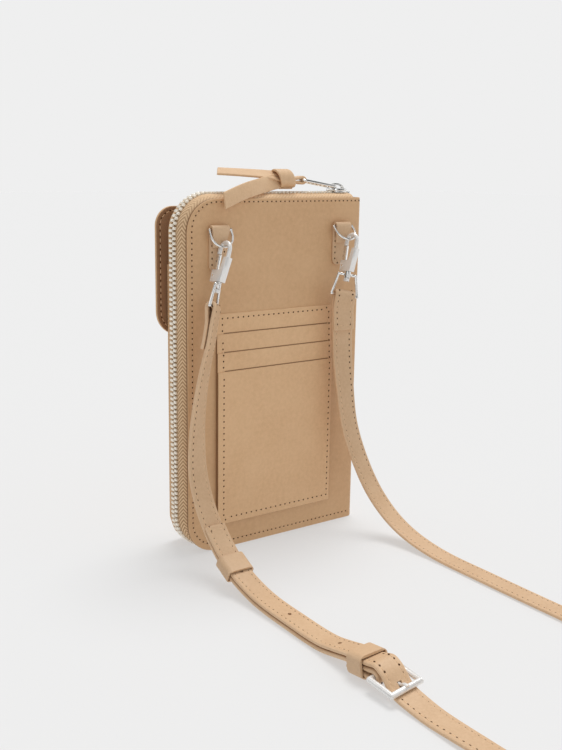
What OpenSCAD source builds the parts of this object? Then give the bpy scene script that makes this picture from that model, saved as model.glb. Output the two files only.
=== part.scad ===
// Phone pouch: a zip-round wallet with card slots behind, a phone pocket under a flap in front,
// and a buckled crossbody strap on two swivel clasps.
// Panel frame used by every module: x from the zip edge to the spine, y from the card side to
// the phone side, z up from the cover's lower edge. home moves it to the middle of the base.

/* [Case] */
// Width of the case from its zip edge to its spine
case_w = 111; // [95:1:130]
// Height of the two covers
case_h = 185; // [170:1:210]
// Thickness of the closed case over both covers
case_d = 19; // [18:0.5:24]
// Radius of the cover corners on the zip side
corner_r = 17; // [10:1:22]
// Thickness of the outer leather
cover_t = 1.4; // [1:0.1:2]
// Outer radius of the leather where it wraps round the spine
spine_r = 3; // [2.5:0.5:5]
// Gap in the leather along the front fold, where the case opens
fold_gap = 0.4; // [0.2:0.1:0.8]
// Thickness of the stiffening boards
board_t = 0.8; // [0.6:0.1:1.2]
// Thickness of the lining cloth
lining_t = 0.6; // [0.4:0.1:1]
// How far the lining stops inside the cover edge
lining_inset = 1.5; // [1:0.5:3]
// Thickness of one inner pocket sheet
inner_sheet_t = 0.7; // [0.5:0.1:0.8]
// Height step from one inner card slot to the next
inner_step = 12; // [8:1:14]
// Number of inner card sheets
inner_sheets = 3; // [1:1:4]

/* [Zip] */
// How far the outer face of the teeth stands out from the cover edge
zip_stand = 3; // [2.5:0.1:4]
// Height of a tooth, across the tape
tooth_h = 2.6; // [2:0.1:3]
// Width of one row of teeth
row_w = 2.6; // [2:0.1:3]
// Gap between the two rows, where the slider's wedge runs
row_gap = 1; // [0.8:0.1:1.4]
// Thickness of the zip tape
tape_t = 0.8; // [0.6:0.1:1]
// Width of tape that is sewn in under the cover
tape_seam = 6; // [4:0.5:8]
// Height of the lowest teeth over the ground
zip_lift = 0.4; // [0.2:0.1:1]
// Length of a zip stop
stop_l = 1.6; // [1:0.1:2]
// Length of the slider
slider_l = 10; // [8:0.5:12]
// Thickness of a slider plate
slider_t = 1.2; // [0.9:0.1:1.5]
// Running clearance round the slider
slider_clear = 0.25; // [0.15:0.05:0.4]
// Distance from the spine to the middle of the slider
slider_back = 10.5; // [10:0.5:16]
// Length of the slider's bridge
bridge_l = 4.8; // [4:0.1:6]
// Width of the slider's bridge
bridge_w = 2.6; // [2:0.1:3]
// Height of the bridge over the upper plate
bridge_h = 2.8; // [2.6:0.1:3.4]
// Diameter of the pull's wire
pull_wire_d = 1.4; // [1:0.1:1.8]
// Length of the wire loop between its two end bars
pull_wire_l = 22.5; // [18:0.5:28]
// Width of the wire loop between its long sides
pull_wire_w = 5.6; // [5.2:0.1:7]
// Angle of the wire loop over the level
pull_rise = 9; // [0:1:20]
// Thickness of the leather pull
pull_t = 2.2; // [1.6:0.1:3]
// Width of the leather pull's tails
pull_w = 6; // [5:0.5:7]
// Length of a tail beyond the knot
pull_l = 44; // [30:1:50]
// How far the lower tail leans out before it drops
pull_crook = 9; // [8:0.5:10]
// Drop of the lower tail's end
pull_drop = 6; // [3:0.5:8]
// Radius of the knot
knot_r = 4.6; // [4:0.1:6]

/* [Card patch] */
// Left edge of the card patch
patch_x = 16.6; // [12:0.1:22]
// Width of the card patch
patch_w = 74.5; // [60:0.5:78]
// Lower edge of the card patch
patch_z = 14.6; // [10:0.1:20]
// Height of the card patch
patch_h = 112.6; // [100:0.1:118]
// Thickness of one card sheet
sheet_t = 0.6; // [0.5:0.1:0.9]
// Distance from the patch's top to the first slot
slot_first = 10.4; // [8:0.1:12]
// Distance from one slot to the next
slot_step = 9.8; // [8:0.1:12]

/* [Strap tabs and rings] */
// Middle of the tab on the zip side
tab_x_left = 17.2; // [14:0.1:22]
// Middle of the tab on the spine side
tab_x_right = 95.5; // [86:0.1:98]
// Width of a tab
tab_w = 10; // [9:0.1:10.6]
// Thickness of a tab's leather
tab_t = 1.2; // [1:0.1:1.6]
// Height of the ring's bar under the top of the cover
ring_down = 15.1; // [12:0.1:20]
// Length of a tab under the ring's bar
tab_l = 21; // [18:0.1:26]
// Height of the bulge where a tab folds over its ring
tab_fold = 8.5; // [6:0.1:10]
// Diameter of the ring's wire
ring_wire_d = 1.5; // [1.2:0.1:1.8]
// Clearance of the ring's bar in the tab's loop
ring_clear = 0.3; // [0.2:0.05:0.4]
// Width inside the ring
ring_inner_w = 11.1; // [11:0.1:14]
// Distance from the ring's bar to its lowest point
ring_drop = 9.2; // [8.2:0.1:11]
// Swing of the left ring away from the cover
ring_tilt_left = 25; // [20:1:30]
// Swing of the right ring away from the cover
ring_tilt_right = 43; // [35:1:48]

/* [Clasp] */
// Width inside the hook's eye
eye_w = 5; // [4.6:0.1:6]
// Diameter of the hook's bend
hook_d = 2.2; // [1.8:0.1:2.4]
// Thickness of the hook's body
hook_t = 3.8; // [3.4:0.1:4.4]
// Length of the gate from its pin to its tip
gate_l = 11; // [9:0.5:12]
// Thickness of the gate
gate_t = 1.6; // [1.2:0.1:1.8]
// Clearance at each side of the gate
gate_clear = 0.2; // [0.15:0.05:0.3]
// Diameter of the gate's pin
pin_d = 1.2; // [1:0.1:1.4]
// Running clearance round the gate's pin
pin_clear = 0.05; // [0.03:0.01:0.1]
// Distance from the ring's wire to the gate's pin
pin_down = 14.9; // [14:0.1:16]
// Distance from the ring's wire to the underside of the hook's body
body_down = 18; // [17.5:0.1:20]
// Width of the hook's body
body_w = 7.4; // [7:0.1:9]
// Diameter of the swivel post
post_d = 1.8; // [1.6:0.1:2.2]
// Running clearance round the swivel post
post_clear = 0.06; // [0.03:0.01:0.1]
// Diameter of the bail's barrel
barrel_d = 3.8; // [3.4:0.1:4.4]
// Length of the bail's barrel
barrel_l = 3.2; // [3:0.1:4]
// Diameter of the swivel's head
head_d = 3.2; // [2.8:0.1:3.8]
// Thickness of the swivel's head
head_t = 1.8; // [1:0.1:2.2]
// Gap at each end of the barrel
swivel_gap = 0.2; // [0.1:0.05:0.4]
// Diameter of the bail's wire
bail_d = 1.5; // [1.2:0.1:1.8]
// Width of the bail's upper bar between its sides
bail_top_w = 8.5; // [6:0.1:12]
// Clearance between the strap and each side of the bail
bail_clear = 1; // [0.8:0.1:1.4]
// Distance from the ring's wire to the bail's lower bar
bail_down = 31; // [29.5:0.1:33]
// Turn of the left hook about its post
hook_turn_left = -84; // [-90:1:-70]
// Turn of the right hook about its post
hook_turn_right = -84; // [-90:1:-70]
// Turn of the left bail about the post
bail_turn_left = 43; // [38:1:48]
// Turn of the right bail about the post
bail_turn_right = -20; // [-25:1:-15]
// Lean of the left clasp towards the zip
lean_left = 18.5; // [16:0.5:20]
// Lean of the right clasp towards the zip
lean_right = 14.5; // [13:0.1:17]
// Lean of both clasps away from the cover
lean_out = 7.3; // [6:0.1:9]
// How far each ring has slid along its tab
ring_slip = 0.5; // [0:0.1:0.5]
// Place of the left hook along its ring
hook_slip_left = 0.7; // [0:0.1:3]
// Place of the right hook along its ring
hook_slip_right = 1.9; // [0:0.1:2.2]

/* [Strap] */
// Width of the strap
strap_w = 11.5; // [10:0.5:12.5]
// Thickness of the strap
strap_t = 2; // [1.6:0.1:2.2]
// Gap between two layers of the strap
layer_gap = 0.35; // [0.3:0.05:0.6]
// Clearance between a strap loop and the bar inside it
loop_clear = 0.35; // [0.2:0.05:0.5]
// Length of a folded end under its bar
fold_l = 20; // [16:1:26]
// Thickness of a keeper's leather
keeper_t = 1.1; // [0.9:0.1:1.4]
// Width of the loose keeper, along the strap
keeper_l = 10.5; // [8:0.5:11]
// Width of the fixed keeper, along the strap
fixed_keeper_l = 8.5; // [7:0.5:9]
// Clearance of the loose keeper round the strap
keeper_clear = 0.55; // [0.5:0.05:0.7]
// Width of the buckle frame
buckle_w = 17; // [16:0.5:20]
// Distance between the buckle's two bars
buckle_l = 12.8; // [12:0.1:14.5]
// Diameter of the buckle's bars
buckle_d = 2; // [1.6:0.1:2.2]
// Thickness of the prong
prong_t = 1.2; // [1:0.1:1.4]
// Width of the prong
prong_w = 1.8; // [1.4:0.1:2.2]
// Clearance round the prong in its hole
prong_clear = 0.35; // [0.3:0.05:0.6]
// Roll of the buckle, its zip side lower
buckle_roll = 7; // [4:1:9]
// Pitch of the buckle, its front bar lower
buckle_pitch = 4; // [2:0.5:6]

/* [Phone pocket and flap] */
// Distance of the pocket's sides from the case's sides
pocket_inset = 3.4; // [3.2:0.1:6]
// Height of the pocket's foot over the base
pocket_z = 4; // [3:0.5:10]
// Distance of the pocket's mouth under the top of the case
pocket_down = 34; // [27:1:45]
// Depth inside the pocket
pocket_d = 4.8; // [4.6:0.1:6]
// Thickness of the pocket's leather
pocket_t = 1.5; // [1.2:0.1:2]
// Radius of the pocket's lower corners
pocket_r = 12; // [6:1:16]
// Thickness of the flap
flap_t = 1.8; // [1.4:0.1:2.4]
// Height of the flap
flap_h = 66.9; // [60:0.1:76]
// Top of the flap, under the top of the cover
flap_down = 4.6; // [4.2:0.1:8]
// Radius of the flap's lower corners
flap_r = 13; // [8:1:18]
// Radius of the flap's upper corners
flap_top_r = 10; // [6:1:14]
// Distance of the flap's sides inside the case's overall width
flap_inset = 0.4; // [0:0.1:2]
// Height of the strip that sews the flap to the cover
anchor_h = 14; // [10:1:20]
// Diameter of the magnetic snap
snap_d = 14; // [10:0.5:18]
// Thickness of each half of the snap
snap_t = 0.6; // [0.5:0.05:0.8]
// Gap between the two halves of the snap
snap_gap = 0.2; // [0.1:0.05:0.3]

/* [Hidden] */

// Overrun of every cut
cut = 1;
// Facets of round pieces and of small round pieces
$fn = 48;
small_fn = 32;

leather = "#c29c77";
leather_light = "#d6b08a";
lining_colour = "#7a5a3f";
metal = "#d0d0d0";
tape_colour = "#ad8a68";

// Panel frame to part frame
ring_y = -(tab_t + ring_clear + ring_wire_d / 2);
ring_z = case_h - ring_down;
ring_reach = ring_drop * sin(ring_tilt_right) - ring_y + ring_wire_d / 2;
pocket_face = case_d + pocket_d + pocket_t;
flap_back = pocket_face + 2 * snap_t + snap_gap;
flap_face = flap_back + flap_t;
home = [-(case_w - zip_stand) / 2, -(flap_face - ring_reach) / 2, 0];

// Case
fold_x = case_w - spine_r;
y_mid = case_d / 2;
front_y = case_d - cover_t;
row_back_y = y_mid - row_gap / 2 - row_w;
row_front_y = y_mid + row_gap / 2;
zip_end = fold_x - stop_l - fold_gap;
tooth_in = zip_stand - tooth_h;
tape_out = zip_stand - (tooth_h - tape_t) / 2;
tape_in = tape_out - tape_t;
lining_y = cover_t + board_t;
cavity_y = lining_y + lining_t;

// Slider
slider_x = case_w - slider_back;
slider_w = 2 * row_w + row_gap + 2 * slider_t + 2 * slider_clear;
teeth_top = case_h + zip_stand;
teeth_foot = case_h + tooth_in;
plate_z = teeth_top + slider_clear;
bridge_z = plate_z + slider_t + pull_wire_d / 2 + slider_clear;
wedge_w = row_gap / 2;
bridge_x = slider_x - slider_l / 4;
pull_end = [bridge_x - pull_wire_l * cos(pull_rise), y_mid, bridge_z + pull_wire_l * sin(pull_rise)];

// Clasps: where each hook hangs on its ring
ring_r = (ring_inner_w + ring_wire_d) / 2;
function hang_point(x, tilt, slip) = let (down = ring_drop - ring_r + sqrt(ring_r * ring_r - slip * slip))
  [x + ring_slip + slip, ring_y - down * sin(tilt), ring_z - down * cos(tilt)];
hang_left = hang_point(tab_x_left, ring_tilt_left, hook_slip_left);
hang_right = hang_point(tab_x_right, ring_tilt_right, hook_slip_right);
hook_clear = 0.35;
bend_r = (eye_w + hook_d) / 2;
bend_z = ring_wire_d / 2 + hook_clear - eye_w / 2;
bail_half = strap_w / 2 + bail_clear + bail_d / 2;
bail_top_half = (bail_top_w + bail_d) / 2;
bail_bar_z = -body_down - swivel_gap - barrel_l / 2;

// Route of the short strap piece, from its left clasp to the buckle: x, y, z, turn and roll
short_route = [
  [7.7, -12.5, 124.5, 43, -15], [5.9, -12.6, 115, 41, -8], [3.8, -11.3, 104, 36, -2],
  [1, -10.2, 86, 29, 0], [-1, -10.6, 67, 19, 0], [-1.8, -13.5, 47, 8, 0], [-1.2, -24, 27, 2, 0],
  [-0.8, -43, 11, 0, 0], [-0.6, -68, 3, 0, 0], [-0.5, -98, 1.3, 0, 0], [-0.6, -117, 1.5, 0, 0],
  [-0.8, -129, 3.7, 0, 0], [-0.9, -137, 5.6, 0, 1], [-1, -143, 6.5, 0, 2], [-1, -149, 7.3, 0, 4]];

// Route of the long strap piece, from the right clasp round to the buckle
long_route = [
  [90.4, -10.3, 126.2, -21, -9], [91, -10.4, 115, -19, -4], [91.2, -11.1, 100, -13, 0],
  [92.2, -12.3, 85, -5, 0], [95, -14, 62, 3, 0], [100, -18.5, 41, 4, 0], [104.5, -28.5, 22, 2, 0],
  [107.5, -46, 8.5, 1, 0], [108.6, -72, 2.2, 0, 0], [108.6, -110, 1.4, 0, 0],
  [108.7, -170, 1.5, 0, 0], [108.7, -215, 2.8, 0, 12], [108.7, -255, 5.4, 0, 52],
  [108.7, -295, 5.8, 0, 88], [108.7, -335, 5.8, 0, 90], [92.6, -373.9, 5.8, 0, 90],
  [53.7, -390, 5.8, 0, 90], [14.8, -373.9, 5.8, 0, 90], [-1.3, -335, 5.8, 0, 90],
  [-1.3, -300, 5.8, 0, 92], [-1.3, -262, 5.4, 0, 128], [-1.3, -225, 2.8, 0, 168],
  [-1.3, -192, 1.5, 0, 180], [-1.2, -181, 1.5, 0, 183], [-1.1, -173.5, 2.2, 0, 185],
  [-1.1, -168, 3, 0, 187], [-1, -164.8, 4, 0, 187], [-1, -161.8, 6.3, 0, 187],
  [-1, -158.7, 9.2, 0, 187], [-1, -154.3, 11.2, 0, 187]];
route_steps = 2;
// Where the upper layer of the short side starts and ends
tail_from_y = -149.5;
tail_to_y = -25;

// Where the strap's pieces sit
back_bar = [-1, -154.3, 6.4];
fold_end_y = [-148.7, -143, -138];
fold_end_z = [4.6, 4.1, 3.4];
fold_end_roll = [4, 2, 1];
keeper_y = -46;
fixed_keeper_y = -144.2;
fixed_keeper_roll = 2;
holes_y = [-60, -92, -125.5];
hole_d = 1.8;
tongue_pitch = asin((buckle_d / 2 + pin_clear) / buckle_l);

// Catmull-Rom point between p1 and p2
function mix_point(p0, p1, p2, p3, u) =
  0.5 * (2 * p1 + (p2 - p0) * u + (2 * p0 - 5 * p1 + 4 * p2 - p3) * u * u
    + (3 * p1 - p0 - 3 * p2 + p3) * u * u * u);
function smooth(route, steps) = let (last = len(route) - 1) concat(
  [for (i = [0 : last - 1], k = [0 : steps - 1])
    mix_point(route[max(i - 1, 0)], route[i], route[i + 1], route[min(i + 2, last)], k / steps)],
  [route[last]]);
function unit(v) = v / norm(v);
function place_of(p) = [p[0], p[1], p[2]];
// Direction of the strap's width at a route point, square to its run
function run_at(pts, i) = unit(place_of(pts[min(i + 1, len(pts) - 1)]) - place_of(pts[max(i - 1, 0)]));
// A route point moved off the strap's face by h, with its roll turned by more
function lift(pts, i, h, more) = let (run = run_at(pts, i), q = place_of(pts[i])
    + h * cross(run, width_dir(pts[i], run))) [q[0], q[1], q[2], pts[i][3], pts[i][4] + more];
function width_dir(p, run) = let (w = [cos(p[3]) * cos(p[4]), sin(p[3]) * cos(p[4]), sin(p[4])])
  unit(w - (w * run) * run);
function ring_of(p, run) = let (w = width_dir(p, run), n = cross(run, w))
  [for (c = band_section()) place_of(p) + c[0] * w + c[1] * n];
// Eight-sided section of the strap with its edges rounded
function band_section() = let (a = strap_w / 2, b = strap_t / 2, e = strap_t / 4)
  [[a, -b + e], [a, b - e], [a - e, b], [e - a, b], [-a, b - e], [-a, e - b], [e - a, -b], [a - e, -b]];

// Axis and middle of a bail's lower bar
function bar_axis(lean, turn) = [cos(turn) * cos(lean) - sin(turn) * sin(lean_out) * sin(lean),
  sin(turn) * cos(lean_out),
  -cos(turn) * sin(lean) - sin(turn) * sin(lean_out) * cos(lean)];
function bar_place(hang, lean) =
  hang - bail_down * [cos(lean_out) * sin(lean), sin(lean_out), cos(lean_out) * cos(lean)];
// Points round half a bar, from the side at from to the far side, bulging along out
function round_bar(bar, axis, from, out, r) = let (a = atan2(axis[1], axis[0]), e = asin(axis[2]))
  [for (t = [0 : 36 : 180]) let (q = bar + r * (cos(t) * from + sin(t) * out)) [q[0], q[1], q[2], a, e]];
// The strap's end at a clasp: the sewn leg, the turn over the bar, then the route
function hung(route, hang, lean, turn, side) = let (
    pts = smooth(route, route_steps), axis = bar_axis(lean, turn), bar = bar_place(hang, lean),
    fall = unit([0, 0, -1] + axis[2] * axis), face = side * cross(fall, axis),
    gap = -side * (strap_t + layer_gap))
  concat([for (i = [4 : -1 : 0]) if (pts[i][2] > bar[2] - fold_l) lift(pts, i, gap, 0)],
    round_bar(bar, axis, -face, -fall, (bail_d + strap_t) / 2 + loop_clear), pts);
bar_up = [-sin(buckle_roll), 0, cos(buckle_roll)];
short_pts = concat(hung(short_route, hang_left, lean_left, bail_turn_left, 1),
  round_bar(back_bar, [cos(buckle_roll), 0, sin(buckle_roll)], bar_up, [0, -1, 0],
    (buckle_d + strap_t) / 2 + loop_clear),
  [for (i = [0 : 2]) [back_bar[0], fold_end_y[i], fold_end_z[i], 0, fold_end_roll[i]]]);
// The tail lies on the short piece, one layer up
tail_pts = [for (i = [len(short_pts) - 10 : -1 : 9]) if (short_pts[i][1] > tail_from_y
    && short_pts[i][1] < tail_to_y) lift(short_pts, i, strap_t + layer_gap, 180)];
long_pts = concat(hung(long_route, hang_right, lean_right, bail_turn_right, -1), tail_pts);
// The point of a route nearest to a given y, among those over its floor part
function at_y(pts, y) = let (
    i = [for (k = [1 : len(pts) - 1]) if ((pts[k][1] - y) * (pts[k - 1][1] - y) <= 0) k][0],
    u = (y - pts[i - 1][1]) / (pts[i][1] - pts[i - 1][1])) [i, pts[i - 1] + u * (pts[i] - pts[i - 1])];

// A strap swept along its points
module band(pts) {
  last = len(pts) - 1;
  rings = [for (i = [0 : last]) ring_of(pts[i], run_at(pts, i))];
  sides = len(band_section());
  polyhedron(
    points = [for (r = rings, p = r) p],
    faces = concat(
      [[for (k = [0 : sides - 1]) k]],
      [[for (k = [0 : sides - 1]) last * sides + sides - 1 - k]],
      [for (i = [0 : last - 1], k = [0 : sides - 1]) let (n = (k + 1) % sides)
        each [[i * sides + k, (i + 1) * sides + n, i * sides + n],
          [i * sides + k, (i + 1) * sides + k, (i + 1) * sides + n]]]));
}

// Outline of the case in x and z, grown by d, standing at foot and ending at right
module case_outline(d, foot, right) {
  r = corner_r + d;
  top = case_h + d;
  translate([r - d, foot]) square([right - r + d, top - foot]);
  translate([-d, foot + r]) square([r, top - foot - 2 * r]);
  for (z = [foot + r, top - r]) translate([r - d, z]) circle(r);
}

// A layer of the case from y upwards
module layer(y, t) {
  translate([0, y + t, 0]) rotate([90, 0, 0]) linear_extrude(t) children();
}

// The zip's outlines stand a little over the ground
function zip_foot(d) = zip_lift + zip_stand - d;
module zip_ring(outer, inner, right) {
  difference() {
    case_outline(outer, zip_foot(outer), right);
    case_outline(inner, zip_foot(inner), right + cut);
  }
}

module back_cover() color(leather) {
  layer(0, cover_t) case_outline(0, 0, fold_x + fold_gap);
  linear_extrude(case_h) difference() {
    spine_outline(0, case_w);
    spine_outline(cover_t, case_w - cover_t);
    translate([fold_x - case_w, cover_t]) square([case_w, case_d]);
  }
}

module spine_outline(inset, right) {
  r = spine_r - inset;
  translate([fold_x, inset + r]) square([right - fold_x, case_d - 2 * inset - 2 * r]);
  for (y = [inset + r, case_d - inset - r]) translate([right - r, y]) circle(r);
}

module front_cover() color(leather)
  layer(front_y, cover_t) case_outline(0, 0, fold_x - fold_gap);

module board(y) color("#b9a88f")
  layer(y, board_t) case_outline(-tape_seam - fold_gap, zip_foot(-tape_seam - fold_gap), zip_end);

module lining(y) color(lining_colour)
  layer(y, lining_t) case_outline(-lining_inset, zip_foot(-lining_inset), zip_end);

// Stepped card sheets on the back half's lining
module inner_card_sheets() color(lining_colour)
  for (i = [0 : inner_sheets - 1]) {
    h = case_h * 0.62 - i * inner_step;
    translate([corner_r / 2, cavity_y + i * inner_sheet_t, corner_r / 2])
      cube([fold_x - corner_r, inner_sheet_t, h]);
  }

// One full-width slip pocket on the front half's lining
module inner_slip_pocket() color(lining_colour)
  translate([corner_r / 2, case_d - cavity_y - inner_sheet_t, corner_r / 2])
    cube([fold_x - corner_r, inner_sheet_t, case_h * 0.7]);

// Tape: a flange sewn in behind the cover and a band up to the teeth
module zip_tape(flange_y, band_y, band_w) color(tape_colour) {
  layer(flange_y, board_t) zip_ring(tape_out, -tape_seam, zip_end);
  layer(band_y, band_w) zip_ring(tape_out, tape_in, zip_end);
}

module zip_teeth(y) color(metal) layer(y, row_w) zip_ring(zip_stand, tooth_in, zip_end);

// The two end stops of a row
module zip_stops(y) color(metal)
  for (z = [zip_foot(zip_stand), teeth_foot])
    translate([zip_end, y, z]) cube([stop_l, row_w, tooth_h]);

module zip_slider() color(metal) {
  difference() {
    union() {
      translate([slider_x - slider_l / 2, y_mid - slider_w / 2, plate_z])
        cube([slider_l, slider_w, slider_t]);
      translate([bridge_x - bridge_l / 2, y_mid - bridge_w / 2, plate_z])
        cube([bridge_l, bridge_w, slider_t + bridge_h]);
    }
    translate([bridge_x, y_mid, bridge_z]) rotate([90, 0, 0])
      cylinder(d = pull_wire_d + 2 * pin_clear, h = slider_w, center = true, $fn = small_fn);
  }
  foot_z = teeth_foot - slider_clear - slider_t;
  translate([slider_x - slider_l / 2, y_mid - slider_w / 2, foot_z])
    cube([slider_l, slider_w, slider_t]);
  translate([slider_x + slider_l / 4, y_mid - wedge_w / 2, foot_z])
    cube([slider_l / 4, wedge_w, plate_z - foot_z + slider_t]);
  lip_h = (tooth_h - tape_t) / 2 - slider_clear;
  translate([slider_x - slider_l / 2, y_mid - slider_w / 2, plate_z - slider_clear - lip_h])
    cube([slider_l, slider_t, slider_clear + lip_h]);
  translate([slider_x - slider_l / 2, y_mid - slider_w / 2, foot_z + slider_t])
    cube([slider_l, slider_t, slider_clear + lip_h]);
}

// Wire loop of the pull: two end bars and two long sides, in a frame with x along the loop
module pull_wire() color(metal)
  translate([bridge_x, y_mid, bridge_z]) rotate([0, pull_rise + 180, 0]) {
    half = pull_wire_w / 2;
    bend = pull_wire_d;
    for (x = [0, pull_wire_l]) translate([x, 0, 0]) rotate([90, 0, 0])
      cylinder(d = pull_wire_d, h = 2 * (half - bend), center = true, $fn = small_fn);
    for (y = [-half, half]) translate([bend, y, 0]) rotate([0, 90, 0])
      cylinder(d = pull_wire_d, h = pull_wire_l - 2 * bend, $fn = small_fn);
    for (x = [bend, pull_wire_l - bend], y = [bend - half, half - bend])
      translate([x, y, 0]) rotate([0, 0, x > bend ? (y > 0 ? 0 : 270) : (y > 0 ? 90 : 180)])
        rotate_extrude(angle = 90, $fn = small_fn) translate([bend, 0]) circle(d = pull_wire_d);
  }

// Knotted leather pull: an eye round the wire's end bar, the knot and two tails
module leather_pull() color(leather_light) {
  eye_r = pull_wire_d / 2 + pin_clear + pull_t;
  eye_l = pull_wire_w - 3 * pull_wire_d;
  difference() {
    union() {
      translate(pull_end) rotate([90, 0, 0])
        cylinder(r = eye_r, h = eye_l, center = true, $fn = small_fn);
      translate(pull_end - [eye_r + knot_r, eye_l / 2, eye_r / 2]) cube([eye_r + knot_r, eye_l, eye_r]);
    }
    translate(pull_end) rotate([90, 0, 0])
      cylinder(d = pull_wire_d + 2 * pin_clear, h = pull_w, center = true, $fn = small_fn);
  }
  knot = pull_end - [eye_r + knot_r, 0, 0];
  translate(knot) sphere(r = knot_r, $fn = small_fn);
  tail(knot, knot + [-pull_l, 0, pull_t]);
  crook = knot + [-pull_l / 2, -pull_crook, -pull_t / 2];
  tail(knot, crook);
  tail(crook, crook + [-pull_l / 2, -pull_drop / 2, -pull_drop]);
}

// A flat strip on edge from one point to another
module tail(from, to) {
  d = to - from;
  translate(from) rotate([0, 0, atan2(d[1], d[0])]) rotate([0, -asin(d[2] / norm(d)), 0])
    translate([0, -pull_t / 2, -pull_w / 2]) cube([norm(d), pull_t, pull_w]);
}

// Card sheets: each reaches down to the patch's foot and lies on the one before it
module card_sheet(i) color(i % 2 == 0 ? leather : "#bd9670") {
  top = i == 0 ? patch_h : patch_h - slot_first - (i - 1) * slot_step;
  translate([patch_x, -(i + 1) * sheet_t, patch_z]) cube([patch_w, sheet_t, top]);
}

// Strap tab: a leg sewn to the cover and a fold round the ring's bar
module tab(x) color(leather_light) {
  loop_r = ring_wire_d / 2 + ring_clear;
  fold_tilt = asin((loop_r + tab_t / 2 - ring_y - tab_t / 2) / tab_fold);
  difference() {
    union() {
      translate([x - tab_w / 2, ring_y, ring_z]) rotate([0, 90, 0])
        cylinder(r = loop_r + tab_t, h = tab_w);
      translate([x - tab_w / 2, ring_y, ring_z]) rotate([fold_tilt, 0, 0])
        translate([0, -loop_r - tab_t, -tab_fold]) cube([tab_w, tab_t, tab_fold]);
      translate([x - tab_w / 2, -tab_t, ring_z - tab_l + tab_w / 4])
        cube([tab_w, tab_t, tab_l - tab_w / 4]);
      translate([x - tab_w / 4, -tab_t, ring_z - tab_l]) cube([tab_w / 2, tab_t, tab_w / 2]);
      for (s = [-1, 1]) translate([x + s * tab_w / 4, 0, ring_z - tab_l + tab_w / 4])
        rotate([90, 0, 0]) cylinder(r = tab_w / 4, h = tab_t);
    }
    translate([x - tab_w, ring_y, ring_z]) rotate([0, 90, 0]) cylinder(r = loop_r, h = 2 * tab_w);
    translate([x - tab_w, 0, ring_z - 2 * tab_fold]) cube([2 * tab_w, tab_fold, 2 * tab_fold]);
  }
}

// D-shaped ring hanging from its straight bar
module d_ring(x, tilt) color(metal)
  translate([x + ring_slip, ring_y, ring_z]) rotate([-tilt, 0, 0]) {
    r = ring_r;
    rotate([0, 90, 0]) cylinder(d = ring_wire_d, h = 2 * r, center = true);
    for (s = [-1, 1]) {
      translate([s * r, 0, r - ring_drop]) cylinder(d = ring_wire_d, h = ring_drop - r);
      translate([s * r, 0, 0]) sphere(d = ring_wire_d);
    }
    translate([0, 0, r - ring_drop]) rotate([90, 0, 0]) rotate([0, 0, 180])
      rotate_extrude(angle = 180) translate([r, 0]) circle(d = ring_wire_d);
  }

// Clasp frame: origin on the ring's wire, z along the swivel post
module clasp(hang, lean, turn) translate(hang) rotate([-lean_out, lean, 0]) rotate([0, 0, turn])
  children();

module hook() color(metal) {
  translate([0, 0, bend_z]) rotate([90, 0, 0])
    rotate_extrude(angle = 180, $fn = small_fn) translate([bend_r, 0]) circle(d = hook_d);
  translate([bend_r, 0, arm_z]) cylinder(d = hook_d, h = bend_z - arm_z);
  translate([-bend_r, 0, nose_z]) cylinder(d = hook_d, h = bend_z - nose_z);
  difference() {
    translate([0, hook_t / 2, 0]) rotate([90, 0, 0]) linear_extrude(hook_t) polygon([
      [body_left, -body_down], [body_left + body_w, -body_down], [eye_w / 2 + hook_d, arm_z],
      [eye_w / 2, arm_z], [arm_share * eye_w / 2, -pin_down + pin_up], [body_left, -pin_down + pin_up]]);
    translate([body_left - cut, -gate_t / 2 - gate_clear, -pin_down - gate_round - gate_clear])
      cube([gate_x + gate_round + gate_swing - body_left + cut, gate_t + 2 * gate_clear,
        2 * pin_up + gate_round + 2 * cut]);
    translate([gate_x, 0, -pin_down]) rotate([90, 0, 0])
      cylinder(d = pin_d, h = 2 * hook_t, center = true, $fn = small_fn);
  }
  translate([0, 0, -body_down - 2 * swivel_gap - barrel_l])
    cylinder(d = post_d, h = barrel_l + 2 * swivel_gap);
  translate([0, 0, -body_down - 2 * swivel_gap - barrel_l - head_t]) cylinder(d = head_d, h = head_t);
}
arm_share = 0.4;
body_left = -bend_r - hook_d / 2 + gate_clear;
arm_z = -gate_l / 2;
gate_swing = 1.6;
pin_up = 2.9;
gate_round = 1.5;
gate_x = -bend_r + hook_d / 4;
nose_z = -pin_down + gate_l + gate_clear;

// Gate: a lever on its pin that closes against the hook's nose
module gate() color(metal) difference() {
  union() {
    translate([gate_x, gate_t / 2, -pin_down]) rotate([90, 0, 0])
      cylinder(r = gate_round, h = gate_t, $fn = small_fn);
    translate([gate_x - gate_round, -gate_t / 2, -pin_down])
      cube([hook_d, gate_t, gate_l]);
  }
  translate([gate_x, 0, -pin_down]) rotate([90, 0, 0])
    cylinder(d = pin_d + 2 * pin_clear, h = 2 * gate_t, center = true, $fn = small_fn);
}

module gate_pin() color(metal)
  translate([gate_x, 0, -pin_down]) rotate([90, 0, 0])
    cylinder(d = pin_d, h = hook_t + pin_d / 4, center = true, $fn = small_fn);

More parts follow.
